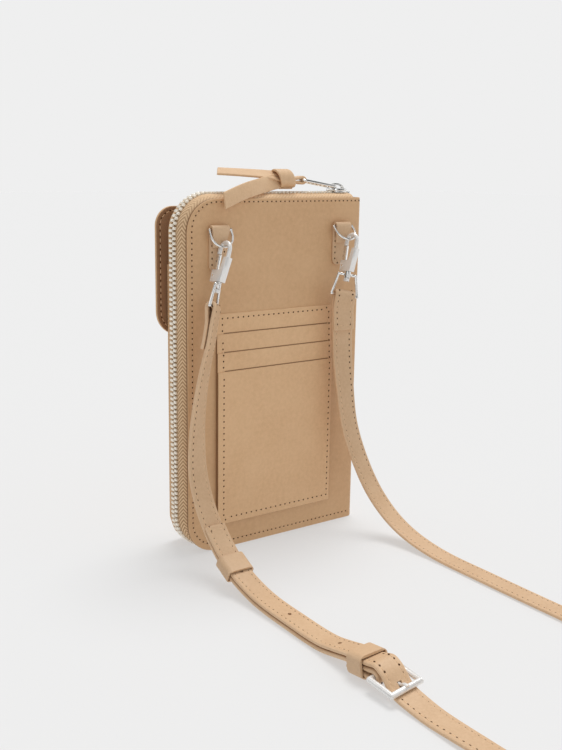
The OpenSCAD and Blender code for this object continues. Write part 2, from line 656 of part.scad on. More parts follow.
// Bail: a barrel on the post, a cross bar, two sides and the lower bar that carries the strap
module bail() color(metal) difference() {
  corner_d = bail_d + swivel_gap / 2;
  splay = atan2(bail_half - bail_top_half, bail_down + bail_bar_z);
  union() {
    translate([0, 0, bail_bar_z]) cylinder(d = barrel_d, h = barrel_l, center = true);
    translate([0, 0, bail_bar_z]) rotate([0, 90, 0])
      cylinder(d = bail_d, h = 2 * bail_top_half, center = true);
    translate([0, 0, -bail_down]) rotate([0, 90, 0])
      cylinder(d = bail_d, h = 2 * bail_half, center = true);
    for (s = [-1, 1]) {
      translate([s * bail_half, 0, -bail_down]) rotate([0, -s * splay, 0])
        cylinder(d = bail_d, h = (bail_down + bail_bar_z) / cos(splay));
      translate([s * bail_half, 0, -bail_down]) sphere(d = corner_d);
      translate([s * bail_top_half, 0, bail_bar_z]) sphere(d = corner_d);
    }
  }
  translate([0, 0, bail_bar_z]) cylinder(d = post_d + 2 * post_clear, h = 2 * barrel_l, center = true);
}

// The short piece, with the slot for the prong's eye at its turn round the back bar
module strap_short() color(leather_light) difference() {
  band(short_pts);
  on_back_bar() translate([-prong_w / 2 - prong_clear, -2 * buckle_d - strap_t, -buckle_d - strap_t])
    cube([prong_w + 2 * prong_clear, 3.5 * buckle_d + strap_t, 2 * buckle_d + 3 * strap_t]);
}

module strap_long() color(leather_light) difference() {
  band(long_pts);
  on_back_bar() translate([-prong_w / 2 - prong_clear, -hole_from, -buckle_d])
    cube([prong_w + 2 * prong_clear, hole_from - hole_to, 4 * buckle_d]);
  for (y = holes_y) {
    place = at_y(tail_pts, y)[1];
    translate([place[0], place[1], place[2]]) cylinder(d = hole_d, h = 3 * strap_t, center = true);
  }
}
hole_from = 9.6;
hole_to = 4.2;
module on_back_bar()
  translate(back_bar) rotate([0, -buckle_roll, 0]) rotate([buckle_pitch, 0, 0]) children();

// A keeper: a leather band round the strap, open along y
module keeper(inner_w, inner_h, l) rotate([90, 0, 0]) translate([0, 0, -l / 2])
  linear_extrude(l) difference() {
    square([inner_w + 2 * keeper_t, inner_h + 2 * keeper_t], center = true);
    square([inner_w, inner_h], center = true);
  }

// A keeper laid along the strap at y, its middle lifted by up, with a given inside height
module keeper_on(y, up, roll, inner_h, l) {
  rear = at_y(short_pts, y + l / 2)[1];
  front = at_y(short_pts, y - l / 2)[1];
  run = unit(place_of(front) - place_of(rear));
  translate((place_of(front) + place_of(rear)) / 2 + up * [0, -run[2], 0] - up * [0, 0, run[1]])
    rotate([-asin(run[2]), 0, 0]) rotate([0, -roll, 0]) keeper(strap_w + 2 * keeper_clear, inner_h, l);
}

module loose_keeper() color(leather_light)
  keeper_on(keeper_y, (strap_t + layer_gap) / 2, 0, 2 * strap_t + layer_gap + 2 * keeper_clear, keeper_l);

module fixed_keeper() color(leather_light)
  keeper_on(fixed_keeper_y, 0, fixed_keeper_roll, 3 * strap_t + 2 * layer_gap + 2 * keeper_clear,
    fixed_keeper_l);

module buckle_frame() color(metal)
  on_back_bar() {
    half = (buckle_w - buckle_d) / 2;
    for (y = [0, -buckle_l]) translate([0, y, 0]) rotate([0, 90, 0])
      cylinder(d = buckle_d, h = 2 * half, center = true, $fn = small_fn);
    for (s = [-1, 1]) {
      translate([s * half, 0, 0]) rotate([90, 0, 0])
        cylinder(d = buckle_d, h = buckle_l, $fn = small_fn);
      for (y = [0, -buckle_l]) translate([s * half, y, 0]) sphere(d = buckle_d, $fn = small_fn);
    }
  }

// Prong: an eye on the back bar and a tongue that rests on the front bar
module buckle_prong() color(metal)
  on_back_bar() difference() {
    eye_r = buckle_d / 2 + pin_clear + prong_t;
    union() {
      rotate([0, 90, 0]) cylinder(r = eye_r, h = prong_w, center = true, $fn = small_fn);
      rotate([-tongue_pitch, 0, 0]) translate([-prong_w / 2, -buckle_l - buckle_d / 2, 0])
        cube([prong_w, buckle_l + buckle_d / 2, prong_t]);
    }
    rotate([0, 90, 0])
      cylinder(d = buckle_d + 2 * pin_clear, h = 2 * prong_w, center = true, $fn = small_fn);
  }

// Pocket outline in x and z
module pocket_outline(inset, top) {
  left = pocket_inset + inset;
  right = fold_x - pocket_inset - inset;
  foot = pocket_z + inset;
  r = pocket_r - inset;
  translate([left + r, foot]) square([right - left - 2 * r, top - foot]);
  translate([left, foot + r]) square([right - left, top - foot - r]);
  for (x = [left + r, right - r]) translate([x, foot + r]) circle(r);
}

module phone_pocket() color(leather) {
  layer(pocket_face - pocket_t, pocket_t) pocket_outline(0, pocket_mouth);
  layer(case_d, pocket_d) difference() {
    pocket_outline(0, pocket_mouth);
    pocket_outline(pocket_t, pocket_mouth + cut);
  }
}

pocket_mouth = case_h - pocket_down;
flap_left = flap_inset - zip_stand;
flap_right = case_w - flap_inset;
flap_top = case_h - flap_down;
flap_z = flap_top - flap_h;
flap_axis = [case_d + flap_t / 2 + fold_gap, flap_top - flap_t / 2];

// Strip that sews the flap to the cover
module flap_anchor() color(leather)
  translate([flap_left + corner_r, case_d, flap_top - flap_t - fold_gap - anchor_h])
    cube([flap_right - flap_left - 2 * corner_r, flap_t * 0.6, anchor_h]);

module flap() color(leather) {
  layer(flap_back, flap_t) {
    w = flap_right - flap_left;
    translate([flap_left + flap_r, flap_z]) square([w - 2 * flap_r, flap_top - flap_z]);
    translate([flap_left, flap_z + flap_r]) square([w, flap_top - flap_z - flap_r - flap_top_r]);
    for (x = [flap_left + flap_r, flap_right - flap_r]) translate([x, flap_z + flap_r]) circle(flap_r);
    for (x = [flap_left + flap_top_r, flap_right - flap_top_r])
      translate([x, flap_top - flap_top_r]) circle(flap_top_r);
    translate([flap_left + flap_top_r, flap_top - flap_top_r])
      square([w - 2 * flap_top_r, flap_top_r]);
  }
  x0 = flap_left + corner_r;
  web_w = flap_right - flap_left - 2 * corner_r;
  translate([x0, flap_axis[0], flap_axis[1] - flap_t / 2])
    cube([web_w, flap_back - flap_axis[0] + flap_t / 2, flap_t]);
  translate([x0, flap_axis[0], flap_axis[1]]) rotate([0, 90, 0]) cylinder(d = flap_t, h = web_w);
}

snap_x = (flap_left + flap_right) / 2;
snap_z = flap_z + snap_d;
module snap_half(y) color(metal)
  translate([snap_x, y + snap_t, snap_z]) rotate([90, 0, 0]) cylinder(d = snap_d, h = snap_t);

// Draw one node, or all
translate(home) back_cover();
translate(home) board(cover_t);  // back_board
translate(home) lining(lining_y);  // back_lining
translate(home) inner_card_sheets();
translate(home)  // zip_tape_back
  zip_tape(cover_t, cover_t, row_back_y - cover_t);
translate(home) zip_teeth(row_back_y);  // zip_teeth_back
translate(home) zip_stops(row_back_y);  // zip_stops_back
translate(home) front_cover();
translate(home) board(front_y - board_t);  // front_board
translate(home) lining(case_d - cavity_y);  // front_lining
translate(home) inner_slip_pocket();
translate(home)  // zip_tape_front
  zip_tape(front_y - board_t, row_front_y + row_w, front_y - row_front_y - row_w);
translate(home) zip_teeth(row_front_y);  // zip_teeth_front
translate(home) zip_stops(row_front_y);  // zip_stops_front
translate(home) zip_slider();
translate(home) pull_wire();
translate(home) leather_pull();
translate(home) card_sheet(0);  // card_sheet_1
translate(home) card_sheet(1);  // card_sheet_2
translate(home) card_sheet(2);  // card_sheet_3
translate(home) card_sheet(3);  // card_sheet_4
translate(home) tab(tab_x_left);  // tab_left
translate(home) tab(tab_x_right);  // tab_right
translate(home) d_ring(tab_x_left, ring_tilt_left);  // ring_left
translate(home) d_ring(tab_x_right, ring_tilt_right);  // ring_right
translate(home)  // hook_left
  clasp(hang_left, lean_left, hook_turn_left) hook();
translate(home)  // hook_right
  clasp(hang_right, lean_right, hook_turn_right) hook();
translate(home)  // gate_left
  clasp(hang_left, lean_left, hook_turn_left) gate();
translate(home)  // gate_right
  clasp(hang_right, lean_right, hook_turn_right) gate();
translate(home)  // gate_pin_left
  clasp(hang_left, lean_left, hook_turn_left) gate_pin();
translate(home)  // gate_pin_right
  clasp(hang_right, lean_right, hook_turn_right) gate_pin();
translate(home)  // bail_left
  clasp(hang_left, lean_left, bail_turn_left) bail();
translate(home)  // bail_right
  clasp(hang_right, lean_right, bail_turn_right) bail();
translate(home) strap_short();
translate(home) strap_long();
translate(home) loose_keeper();
translate(home) fixed_keeper();
translate(home) buckle_frame();
translate(home) buckle_prong();
translate(home) phone_pocket();
translate(home) flap_anchor();
translate(home) flap();
translate(home) snap_half(pocket_face);  // snap_stud
translate(home) snap_half(pocket_face + snap_t + snap_gap);  // snap_cap
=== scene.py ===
# A phone pouch: a zip-round wallet with card slots on one side, a phone pocket under a flap on the
# other, and a buckled strap on two swivel clasps. The camera and the strap come first, then each
# piece follows in the order in which the pouch is sewn and fitted.

import math

import bmesh
import bpy
import numpy as np
from mathutils import Matrix, Vector


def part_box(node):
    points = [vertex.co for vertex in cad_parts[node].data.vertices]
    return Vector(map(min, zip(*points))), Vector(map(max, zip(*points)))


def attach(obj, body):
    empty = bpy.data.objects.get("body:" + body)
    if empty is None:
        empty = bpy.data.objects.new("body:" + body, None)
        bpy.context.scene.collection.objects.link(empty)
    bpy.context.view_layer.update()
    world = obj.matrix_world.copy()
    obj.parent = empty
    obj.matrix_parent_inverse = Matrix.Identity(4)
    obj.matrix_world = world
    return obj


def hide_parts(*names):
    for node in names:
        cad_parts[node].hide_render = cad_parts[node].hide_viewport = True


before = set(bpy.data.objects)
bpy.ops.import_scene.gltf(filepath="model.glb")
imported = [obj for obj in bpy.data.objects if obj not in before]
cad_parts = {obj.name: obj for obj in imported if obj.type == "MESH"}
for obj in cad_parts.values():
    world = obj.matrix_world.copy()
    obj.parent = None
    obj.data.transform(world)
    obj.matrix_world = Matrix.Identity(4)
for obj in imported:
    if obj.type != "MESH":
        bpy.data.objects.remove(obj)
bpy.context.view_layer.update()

# Camera: it looks at the card side from the zip edge's end, a little from above.
# Places are given from the case's lower corner at the zip edge, card side.
mm = 0.001
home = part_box("back_cover")[0]


def at(x, y, z):
    return home + mm * Vector((x, y, z))


camera_yaw, camera_pitch, camera_roll = (math.radians(a) for a in (35.818, 12.352, 0.897))
focal_pixels, image_pixels, sensor_mm = 955, 750, 36
sight = Vector((math.sin(camera_yaw) * math.cos(camera_pitch),
                math.cos(camera_yaw) * math.cos(camera_pitch), -math.sin(camera_pitch)))
level = Vector((math.cos(camera_yaw), -math.sin(camera_yaw), 0))
above = level.cross(sight)
right = math.cos(camera_roll) * level + math.sin(camera_roll) * above
up = math.cos(camera_roll) * above - math.sin(camera_roll) * level
bpy.ops.object.camera_add()
camera = bpy.context.object
camera.matrix_world = Matrix.Translation(at(-236.739, -408.204, 201.249)) @ Matrix(
    (right, up, -sight)).transposed().to_4x4()
camera.data.sensor_width = sensor_mm
camera.data.lens = sensor_mm * focal_pixels / image_pixels
camera.data.clip_start = 0.02
bpy.context.scene.camera = camera

# Strap: two bands of smooth leather with painted edges. Each is folded round its bail and sewn, and
# the long one comes back through the buckle, so that its punched tail lies on the short one.
strap_width, strap_thickness, layer_gap = 11.5 * mm, 2 * mm, 0.35 * mm
bail_reach, bail_lean_out, bail_wire, buckle_wire, bar_clear = 31 * mm, 7.3, 1.5 * mm, 2 * mm, 0.35 * mm
sewn_leg = 20 * mm
left_hang, right_hang = (np.array(at(*p)) for p in ((18.4, -6.1216, 161.5973), (97.9, -8.3243, 163.3861)))
left_lean, left_turn, right_lean, right_turn = 18.5, 43, 14.5, -20

# Each band's course: a place in metres, then the band's turn and roll in degrees
short_route = [
    (0.0077, -0.0125, 0.1245, 43, -15), (0.0059, -0.0126, 0.115, 41, -8), (0.0038, -0.0113, 0.104, 36, -2),
    (0.001, -0.0102, 0.086, 29, 0), (-0.001, -0.0106, 0.067, 19, 0), (-0.0018, -0.0135, 0.047, 8, 0),
    (-0.0012, -0.024, 0.027, 2, 0), (-0.0008, -0.043, 0.011, 0, 0), (-0.0006, -0.068, 0.003, 0, 0),
    (-0.0005, -0.098, 0.0013, 0, 0), (-0.0006, -0.117, 0.0015, 0, 0), (-0.0008, -0.129, 0.0037, 0, 0),
    (-0.0009, -0.137, 0.0056, 0, 1), (-0.001, -0.143, 0.0065, 0, 2), (-0.001, -0.149, 0.0073, 0, 4)]
long_route = [
    (0.0904, -0.0103, 0.1262, -21, -9), (0.091, -0.0104, 0.115, -19, -4), (0.0912, -0.0111, 0.1, -13, 0),
    (0.0922, -0.0123, 0.085, -5, 0), (0.095, -0.014, 0.062, 3, 0), (0.1, -0.0185, 0.041, 4, 0),
    (0.1045, -0.0285, 0.022, 2, 0), (0.1075, -0.046, 0.0085, 1, 0), (0.1086, -0.072, 0.0022, 0, 0),
    (0.1086, -0.11, 0.0014, 0, 0), (0.1087, -0.17, 0.0015, 0, 0), (0.1087, -0.215, 0.0028, 0, 12),
    (0.1087, -0.255, 0.0054, 0, 52), (0.1087, -0.295, 0.0058, 0, 88), (0.1087, -0.335, 0.0058, 0, 90),
    (0.0926, -0.3739, 0.0058, 0, 90), (0.0537, -0.39, 0.0058, 0, 90), (0.0148, -0.3739, 0.0058, 0, 90),
    (-0.0013, -0.335, 0.0058, 0, 90), (-0.0013, -0.3, 0.0058, 0, 92), (-0.0013, -0.262, 0.0054, 0, 128),
    (-0.0013, -0.225, 0.0028, 0, 168), (-0.0013, -0.192, 0.0015, 0, 180), (-0.0012, -0.181, 0.0015, 0, 183),
    (-0.0011, -0.1735, 0.0022, 0, 185), (-0.0011, -0.168, 0.003, 0, 187), (-0.001, -0.1648, 0.004, 0, 187),
    (-0.001, -0.1618, 0.0063, 0, 187), (-0.001, -0.1587, 0.0092, 0, 187), (-0.001, -0.1543, 0.0112, 0, 187)]
back_bar = np.array(at(-1, -154.3, 6.4))
buckle_roll = 7
fold_end = [(-0.001, -0.1487, 0.0046, 0, 4), (-0.001, -0.143, 0.0041, 0, 2), (-0.001, -0.138, 0.0034, 0, 1)]
tail_start, tail_stop = at(0, -149.5, 0)[1], at(0, -25, 0)[1]
route_steps, path_step = 8, 0.8 * mm


def placed(route):
    """A route's points in the part's frame: place, then turn and roll in degrees."""
    return [np.array(p) + np.array((*home, 0, 0)) for p in route]


def unit(v):
    return v / np.linalg.norm(v)


def between(p0, p1, p2, p3, u):
    return 0.5 * (2 * p1 + (p2 - p0) * u + (2 * p0 - 5 * p1 + 4 * p2 - p3) * u * u
                  + (3 * p1 - p0 - 3 * p2 + p3) * u ** 3)


def smooth(route):
    last = len(route) - 1
    return [between(route[max(i - 1, 0)], route[i], route[i + 1], route[min(i + 2, last)], k / route_steps)
            for i in range(last) for k in range(route_steps)] + [route[last]]


def run_at(points, i):
    return unit(points[min(i + 1, len(points) - 1)][:3] - points[max(i - 1, 0)][:3])


def width_at(point, run):
    turn, roll = np.radians(point[3:])
    width = np.array((math.cos(turn) * math.cos(roll), math.sin(turn) * math.cos(roll), math.sin(roll)))
    return unit(width - width.dot(run) * run)


def lifted(points, i, height, more):
    """The point moved off the band's face, its roll turned by more."""
    run = run_at(points, i)
    face = np.cross(run, width_at(points[i], run))
    return np.append(points[i][:3] + height * face, (points[i][3], points[i][4] + more))


def bail_bar(hang, lean, turn):
    """Middle and direction of a bail's lower bar."""
    out, lean, turn = (math.radians(a) for a in (bail_lean_out, lean, turn))
    axis = np.array((math.cos(turn) * math.cos(lean) - math.sin(turn) * math.sin(out) * math.sin(lean),
                     math.sin(turn) * math.cos(out),
                     -math.cos(turn) * math.sin(lean) - math.sin(turn) * math.sin(out) * math.cos(lean)))
    post = np.array((math.cos(out) * math.sin(lean), math.sin(out), math.cos(out) * math.cos(lean)))
    return hang - bail_reach * post, axis


def round_bar(bar, axis, side, out, radius):
    turn, roll = math.degrees(math.atan2(axis[1], axis[0])), math.degrees(math.asin(axis[2]))
    arc = [bar + radius * (math.cos(t) * side + math.sin(t) * out) for t in np.radians(range(0, 181, 12))]
    return [np.append(p, (turn, roll)) for p in arc]


def hung(route, hang, lean, turn, side):
    """The band from its sewn leg, over the bail's bar and down its route."""
    points = smooth(placed(route))
    bar, axis = bail_bar(hang, lean, turn)
    fall = unit(np.array((0, 0, -1)) + axis[2] * axis)
    face = side * np.cross(fall, axis)
    leg = [lifted(points, i, -side * (strap_thickness + layer_gap), 0) for i in range(2 * route_steps, -1, -1)
           if points[i][2] > bar[2] - sewn_leg]
    return leg + round_bar(bar, axis, -face, -fall, (bail_wire + strap_thickness) / 2 + bar_clear) + points


def distances(points):
    """How far along its run each point is."""
    return np.append(0, np.cumsum(np.linalg.norm(np.diff(points, axis=0), axis=1)))


def read_at(marks, gone, table):
    """The table's rows at distances along its run."""
    return np.array([np.interp(marks, gone, column) for column in table.T]).T


def evened(points, step=path_step, passes=3):
    """The points spaced evenly along their run, with small kinks relaxed."""
    points = np.array(points)
    gone = distances(points[:, :3])
    path = read_at(np.linspace(0, gone[-1], round(gone[-1] / step) + 1), gone, points)
    for _ in range(passes):
        path[1:-1] = (path[:-2] + 2 * path[1:-1] + path[2:]) / 4
    return path


bar_roll = math.radians(buckle_roll)
bar_along = (math.cos(bar_roll), 0, math.sin(bar_roll))
bar_above = np.array((-math.sin(bar_roll), 0, math.cos(bar_roll)))
buckle_fold = round_bar(back_bar, bar_along, bar_above, np.array((0, -1, 0)),
                        (buckle_wire + strap_thickness) / 2 + bar_clear)
short_points = hung(short_route, left_hang, left_lean, left_turn, 1) + buckle_fold + placed(fold_end)

# The tail lies over the short band's own course, so the points of the folds at both ends are left out
first_step, last_step = 9 + 2 * route_steps, len(short_points) - 20
tail_points = [lifted(short_points, i, strap_thickness + layer_gap, 180)
               for i in range(last_step, first_step, -1)
               if tail_start < short_points[i][1] < tail_stop]
short_path = evened(short_points)
long_path = evened(hung(long_route, right_hang, right_lean, right_turn, -1) + tail_points)

# The band's half section, from the middle of its face to the middle of its edge, in millimetres
half_section = [(0, 1), (1.8, 1), (3.2, 0.98), (3.6, 0.9), (3.75, 0.86), (3.9, 0.9), (4.3, 0.97), (4.9, 0.93),
                (5.35, 0.8), (5.62, 0.55), (5.75, 0.2)]
upper = [(-u, v) for u, v in half_section[:0:-1]] + half_section
band_section = [(u * mm, v * mm) for u, v in upper + [(-u, -v) for u, v in upper]]
painted_from = 5.3 * mm


def new_piece(name, points, faces):
    """An object in the scene with a mesh of these points and faces."""
    mesh = bpy.data.meshes.new(name)
    mesh.from_pydata([tuple(p) for p in points], [], faces)
    piece = bpy.data.objects.new(name, mesh)
    bpy.context.scene.collection.objects.link(piece)
    return piece


def tube_faces(rings, n):
    """The faces between rings of n points each, and a face on both ends."""
    last = rings - 1
    faces = [(i * n + k, i * n + (k + 1) % n, (i + 1) * n + (k + 1) % n, (i + 1) * n + k)
             for i in range(last) for k in range(n)]
    return faces + [tuple(range(n - 1, -1, -1)), tuple(last * n + k for k in range(n))]


def swept(name, path, section):
    """A section carried along a path, as one closed mesh with its faces outwards."""
    points = []
    for i, point in enumerate(path):
        run = run_at(path, i)
        width = width_at(point, run)
        face = np.cross(run, width)
        points += [point[:3] + u * width + v * face for u, v in section]
    piece = new_piece(name, points, tube_faces(len(path), len(section)))
    recalculated(piece)
    return piece


def recalculated(piece):
    """Doubles merged and faces turned outwards."""
    shape = bmesh.new()
    shape.from_mesh(piece.data)
    bmesh.ops.remove_doubles(shape, verts=shape.verts, dist=1e-6)
    bmesh.ops.recalc_face_normals(shape, faces=shape.faces)
    shape.to_mesh(piece.data)
    shape.free()


def only(piece):
    """The one selected and active object."""
    bpy.ops.object.select_all(action="DESELECT")
    piece.select_set(True)
    bpy.context.view_layer.objects.active = piece


def softened(piece, angle=40):
    only(piece)
    bpy.ops.object.shade_smooth_by_angle(angle=math.radians(angle))


def with_ends(path, tuck=0.3 * mm):
    """The path with one short extra step past each end, for a rounded cut end."""
    first, last = path[0].copy(), path[-1].copy()
    first[:3] -= tuck * run_at(path, 0)
    last[:3] += tuck * run_at(path, len(path) - 1)
    return np.vstack((first, path, last))


def rounded_ends(piece, section, shrink=0.86):
    """The first and last ring of a swept band drawn in a little."""
    points = piece.data.vertices
    for ring in (range(len(section)), range(len(points) - len(section), len(points))):
        middle = sum((points[k].co for k in ring), Vector()) / len(section)
        for k in ring:
            points[k].co = middle + shrink * (points[k].co - middle)


def input_of(node, key, value):
    """A value set on a socket, or a link to it from another socket."""
    if isinstance(value, bpy.types.NodeSocket):
        node.id_data.links.new(value, node.inputs[key])
    else:
        node.inputs[key].default_value = value


def added(tree, kind, settings=(), **inputs):
    """A node with its settings, and its inputs by name with spaces as underscores."""
    node = tree.nodes.new("ShaderNode" + kind)
    for key, value in dict(settings).items():
        setattr(node, key, value)
    for key, value in inputs.items():
        input_of(node, key.replace("_", " "), value)
    return node


def mixed(tree, factor, a, b):
    """The colour mixed from two colours."""
    node = tree.nodes.new("ShaderNodeMix")
    node.data_type = "RGBA"
    for index, value in ((0, factor), (6, a), (7, b)):
        input_of(node, index, value)
    return node.outputs[2]


def sums(tree, operation, a, b, clamp=False):
    """Arithmetic on two numbers or sockets."""
    node = tree.nodes.new("ShaderNodeMath")
    node.operation, node.use_clamp = operation, clamp
    for index, value in enumerate((a, b)):
        input_of(node, index, value)
    return node.outputs[0]


def own_place(tree):
    """The place on the piece itself."""
    return added(tree, "TexCoord").outputs["Object"]


def noise(tree, scale, detail=2.0, rough=0.5):
    """Noise that stays with the piece."""
    node = added(tree, "TexNoise", Vector=own_place(tree), Scale=scale, Detail=detail, Roughness=rough)
    return node.outputs[0]


def effect(name, inputs, outputs):
    """A new node group with named inputs and outputs: its tree, and its input and output nodes."""
    group = bpy.data.node_groups.new(name, "ShaderNodeTree")
    for label, kind, default in inputs:
        socket = group.interface.new_socket(label, in_out="INPUT", socket_type="NodeSocket" + kind)
        socket.default_value = default
    for label, kind in outputs:
        group.interface.new_socket(label, in_out="OUTPUT", socket_type="NodeSocket" + kind)
    return group, group.nodes.new("NodeGroupInput").outputs, group.nodes.new("NodeGroupOutput")


def placed_in(tree, group, **inputs):
    """The group placed in a material, with its inputs."""
    node = tree.nodes.new("ShaderNodeGroup")
    node.node_tree = group
    for key, value in inputs.items():
        input_of(node, key.replace("_", " "), value)
    return node.outputs


def srgb(red, green, blue):
    """A colour as it is seen, 0 to 255, in the shader's own scale."""
    return (*(((c / 255 + 0.055) / 1.055) ** 2.4 for c in (red, green, blue)), 1)


# Leather grain: fine pebbles, soft cloudy tone, and a lighter crest on edges: rubbed wear and painted
# highlight
leather_grain, grain_in, grain_out = effect(
    "leather_grain",
    [("Tone", "Color", (0.5, 0.3, 0.2, 1)), ("Light tone", "Color", (0.7, 0.5, 0.3, 1)),
     ("Pebbles", "Float", 1500.0), ("Clouds", "Float", 55.0), ("Wear", "Float", 0.5)],
    [("Color", "Color"), ("Roughness", "Float"), ("Height", "Float")])
tree = leather_grain
pebble = added(tree, "TexVoronoi", {"feature": "SMOOTH_F1"}, Vector=own_place(tree),
               Scale=grain_in["Pebbles"]).outputs[0]
pores = noise(tree, grain_in["Pebbles"], 3.0)
cloud = noise(tree, grain_in["Clouds"], 4.0, 0.6)
mottle = noise(tree, sums(tree, "MULTIPLY", grain_in["Clouds"], 11.0), 4.0, 0.7)
edge = added(tree, "NewGeometry").outputs["Pointiness"]
# Edges paler by pointiness: partly rubbed wear, partly a painted highlight where the edges catch the light
crest = added(tree, "MapRange", Value=edge, From_Min=0.5, From_Max=0.62).outputs[0]
deep = mixed(tree, 0.22, grain_in["Tone"], (0.25, 0.11, 0.04, 1))
pored = mixed(tree, sums(tree, "MULTIPLY", pores, 0.5), grain_in["Tone"], grain_in["Light tone"])
spread = added(tree, "MapRange", Value=mottle, From_Min=0.36, From_Max=0.64).outputs[0]
speckled = mixed(tree, spread, mixed(tree, 0.45, deep, pored), pored)
thin_cloud = sums(tree, "MULTIPLY", sums(tree, "SUBTRACT", cloud, 0.4, True), 1.2, True)
clouded = mixed(tree, thin_cloud, speckled, grain_in["Light tone"])
worn_and_sheened = mixed(tree, sums(tree, "MULTIPLY", crest, grain_in["Wear"], True), clouded, grain_in["Light tone"])
tree.links.new(worn_and_sheened, grain_out.inputs["Color"])
tree.links.new(sums(tree, "ADD", sums(tree, "MULTIPLY", pores, 0.18), 0.46), grain_out.inputs["Roughness"])
tree.links.new(sums(tree, "ADD", sums(tree, "MULTIPLY", pebble, -0.6), pores), grain_out.inputs["Height"])


def material(name, roughness=0.5, metallic=0.0, specular=0.4):
    """A new material: its tree and its shader."""
    made = bpy.data.materials.new(name)
    made.use_nodes = True
    shader = made.node_tree.nodes["Principled BSDF"]
    shader.inputs["Roughness"].default_value = roughness
    shader.inputs["Metallic"].default_value = metallic
    shader.inputs["Specular IOR Level"].default_value = specular
    return made, made.node_tree, shader


def bumped(tree, shader, height, strength, distance):
    bump = added(tree, "Bump", Strength=strength, Distance=distance, Height=height)
    tree.links.new(bump.outputs[0], shader.inputs["Normal"])


def leather(name, tone, light, pebbles=1500.0, clouds=55.0, wear_and_sheen=0.5, depth=0.35):
    made, tree, shader = material(name)
    grain = placed_in(tree, leather_grain, Tone=srgb(*tone), Light_tone=srgb(*light), Pebbles=pebbles,
                      Clouds=clouds, Wear=wear_and_sheen)
    tree.links.new(grain["Color"], shader.inputs["Base Color"])
    tree.links.new(grain["Roughness"], shader.inputs["Roughness"])
    bumped(tree, shader, grain["Height"], depth, 0.12 * mm)
    return made


def faced(piece, *materials):
    piece.data.materials.clear()
    for made in materials:
        piece.data.materials.append(made)


strap_leather = leather("strap_leather", (207, 172, 135), (221, 189, 154), clouds=70.0)
edge_paint = leather("edge_paint", (220, 184, 146), (234, 202, 166), pebbles=2600.0, wear_and_sheen=0.2, depth=0.15)


def strap(name, path, node):
    """A band of the strap with smooth faces and painted edges."""
    piece = swept(name, with_ends(path), band_section)
    rounded_ends(piece, band_section)
    faced(piece, strap_leather, edge_paint)
    n = len(band_section)
    for polygon in piece.data.polygons:
        if polygon.index < n * len(path) and len(polygon.vertices) == 4:
            beside = [abs(band_section[v % n][0]) for v in polygon.vertices]
            polygon.material_index = int(min(beside) > painted_from)
    softened(piece)
    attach(piece, "case")
    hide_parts(node)
    return piece


short_strap = strap("short_strap", short_path, "strap_short")
long_strap = strap("long_strap", long_path, "strap_long")

# Adjusting holes: punched clean through the tail of the long strap, and through the long strap at the
# buckle, where the prong comes up
hole_places, hole_radius = (-51, -90.5, -126.5), 0.95 * mm
prong_hole, prong_hole_radius, prong_hole_tilt = (-1, -164.0, 5.2), 1.1 * mm, -42
punch_length = 3.6 * mm


def tail_spot(y):
    """The place on the long strap's tail at a distance along the pouch's depth."""
    return Vector(min(evened(tail_points), key=lambda p: abs(p[1] - at(0, y, 0)[1]))[:3])


def modified(piece, kind, **settings):
    """A modifier put on the piece and applied."""
    only(piece)
    modifier = piece.modifiers.new(kind.lower(), kind)
    for key, value in settings.items():
        setattr(modifier, key, value)
    bpy.ops.object.modifier_apply(modifier=modifier.name)


def cut_with(piece, cutters):
    """The cutters joined, taken out of the piece and removed."""
    only(cutters[0])
    for cutter in cutters:
        cutter.select_set(True)
    bpy.ops.object.join()
    cutter = bpy.context.object
    modified(piece, "BOOLEAN", object=cutter, operation="DIFFERENCE", solver="EXACT")
    bpy.data.objects.remove(cutter)


holes = [(tail_spot(y), hole_radius, 0) for y in hole_places]
holes.append((at(*prong_hole), prong_hole_radius, prong_hole_tilt))
punches = []
for place, radius, tilt in holes:
    bpy.ops.object.select_all(action="DESELECT")
    bpy.ops.mesh.primitive_cylinder_add(vertices=16, radius=radius, depth=punch_length, location=place,
                                        rotation=(math.radians(tilt), 0, 0))
    punches.append(bpy.context.object)
cut_with(long_strap, punches)
softened(long_strap)

# Stitching: waxed thread in rows beside the edges of every band and panel, one stitch to every 3.2 mm,
# or 2.8 mm on the panels, its ends pulled into needle holes, each a small dark disc of painted shade.
# The strap's rows run on both faces and across both ends.
stitch_pitch = 3.2 * mm
thread_rings = [(-1.05, -0.2, 0.1), (-0.7, -0.04, 0.18), (0, 0.0, 0.22), (0.7, -0.04, 0.18),
                (1.05, -0.2, 0.1)]
hole_middle, hole_half_length, hole_half_width, hole_crown, hole_root = 1.6, 0.5, 0.46, 0.07, -0.2
row_inset, end_inset, row_height = 2 * mm, 2.2 * mm, 0.88 * mm
edge_offset = strap_width / 2 - row_inset
thread, tree, shader = material("thread", roughness=0.6)
ply = noise(tree, 2600.0)
tree.links.new(mixed(tree, ply, srgb(212, 174, 134), srgb(240, 208, 170)), shader.inputs["Base Color"])
bumped(tree, shader, ply, 0.4, 0.08 * mm)
# Needle holes are painted shade: dark discs that stand for the shadow inside each hole
needle_hole_shade, tree, shader = material("needle_hole_shade", roughness=0.9, specular=0.1)
dark = noise(tree, 1800.0)
tree.links.new(mixed(tree, dark, srgb(62, 38, 22), srgb(92, 62, 38)), shader.inputs["Base Color"])


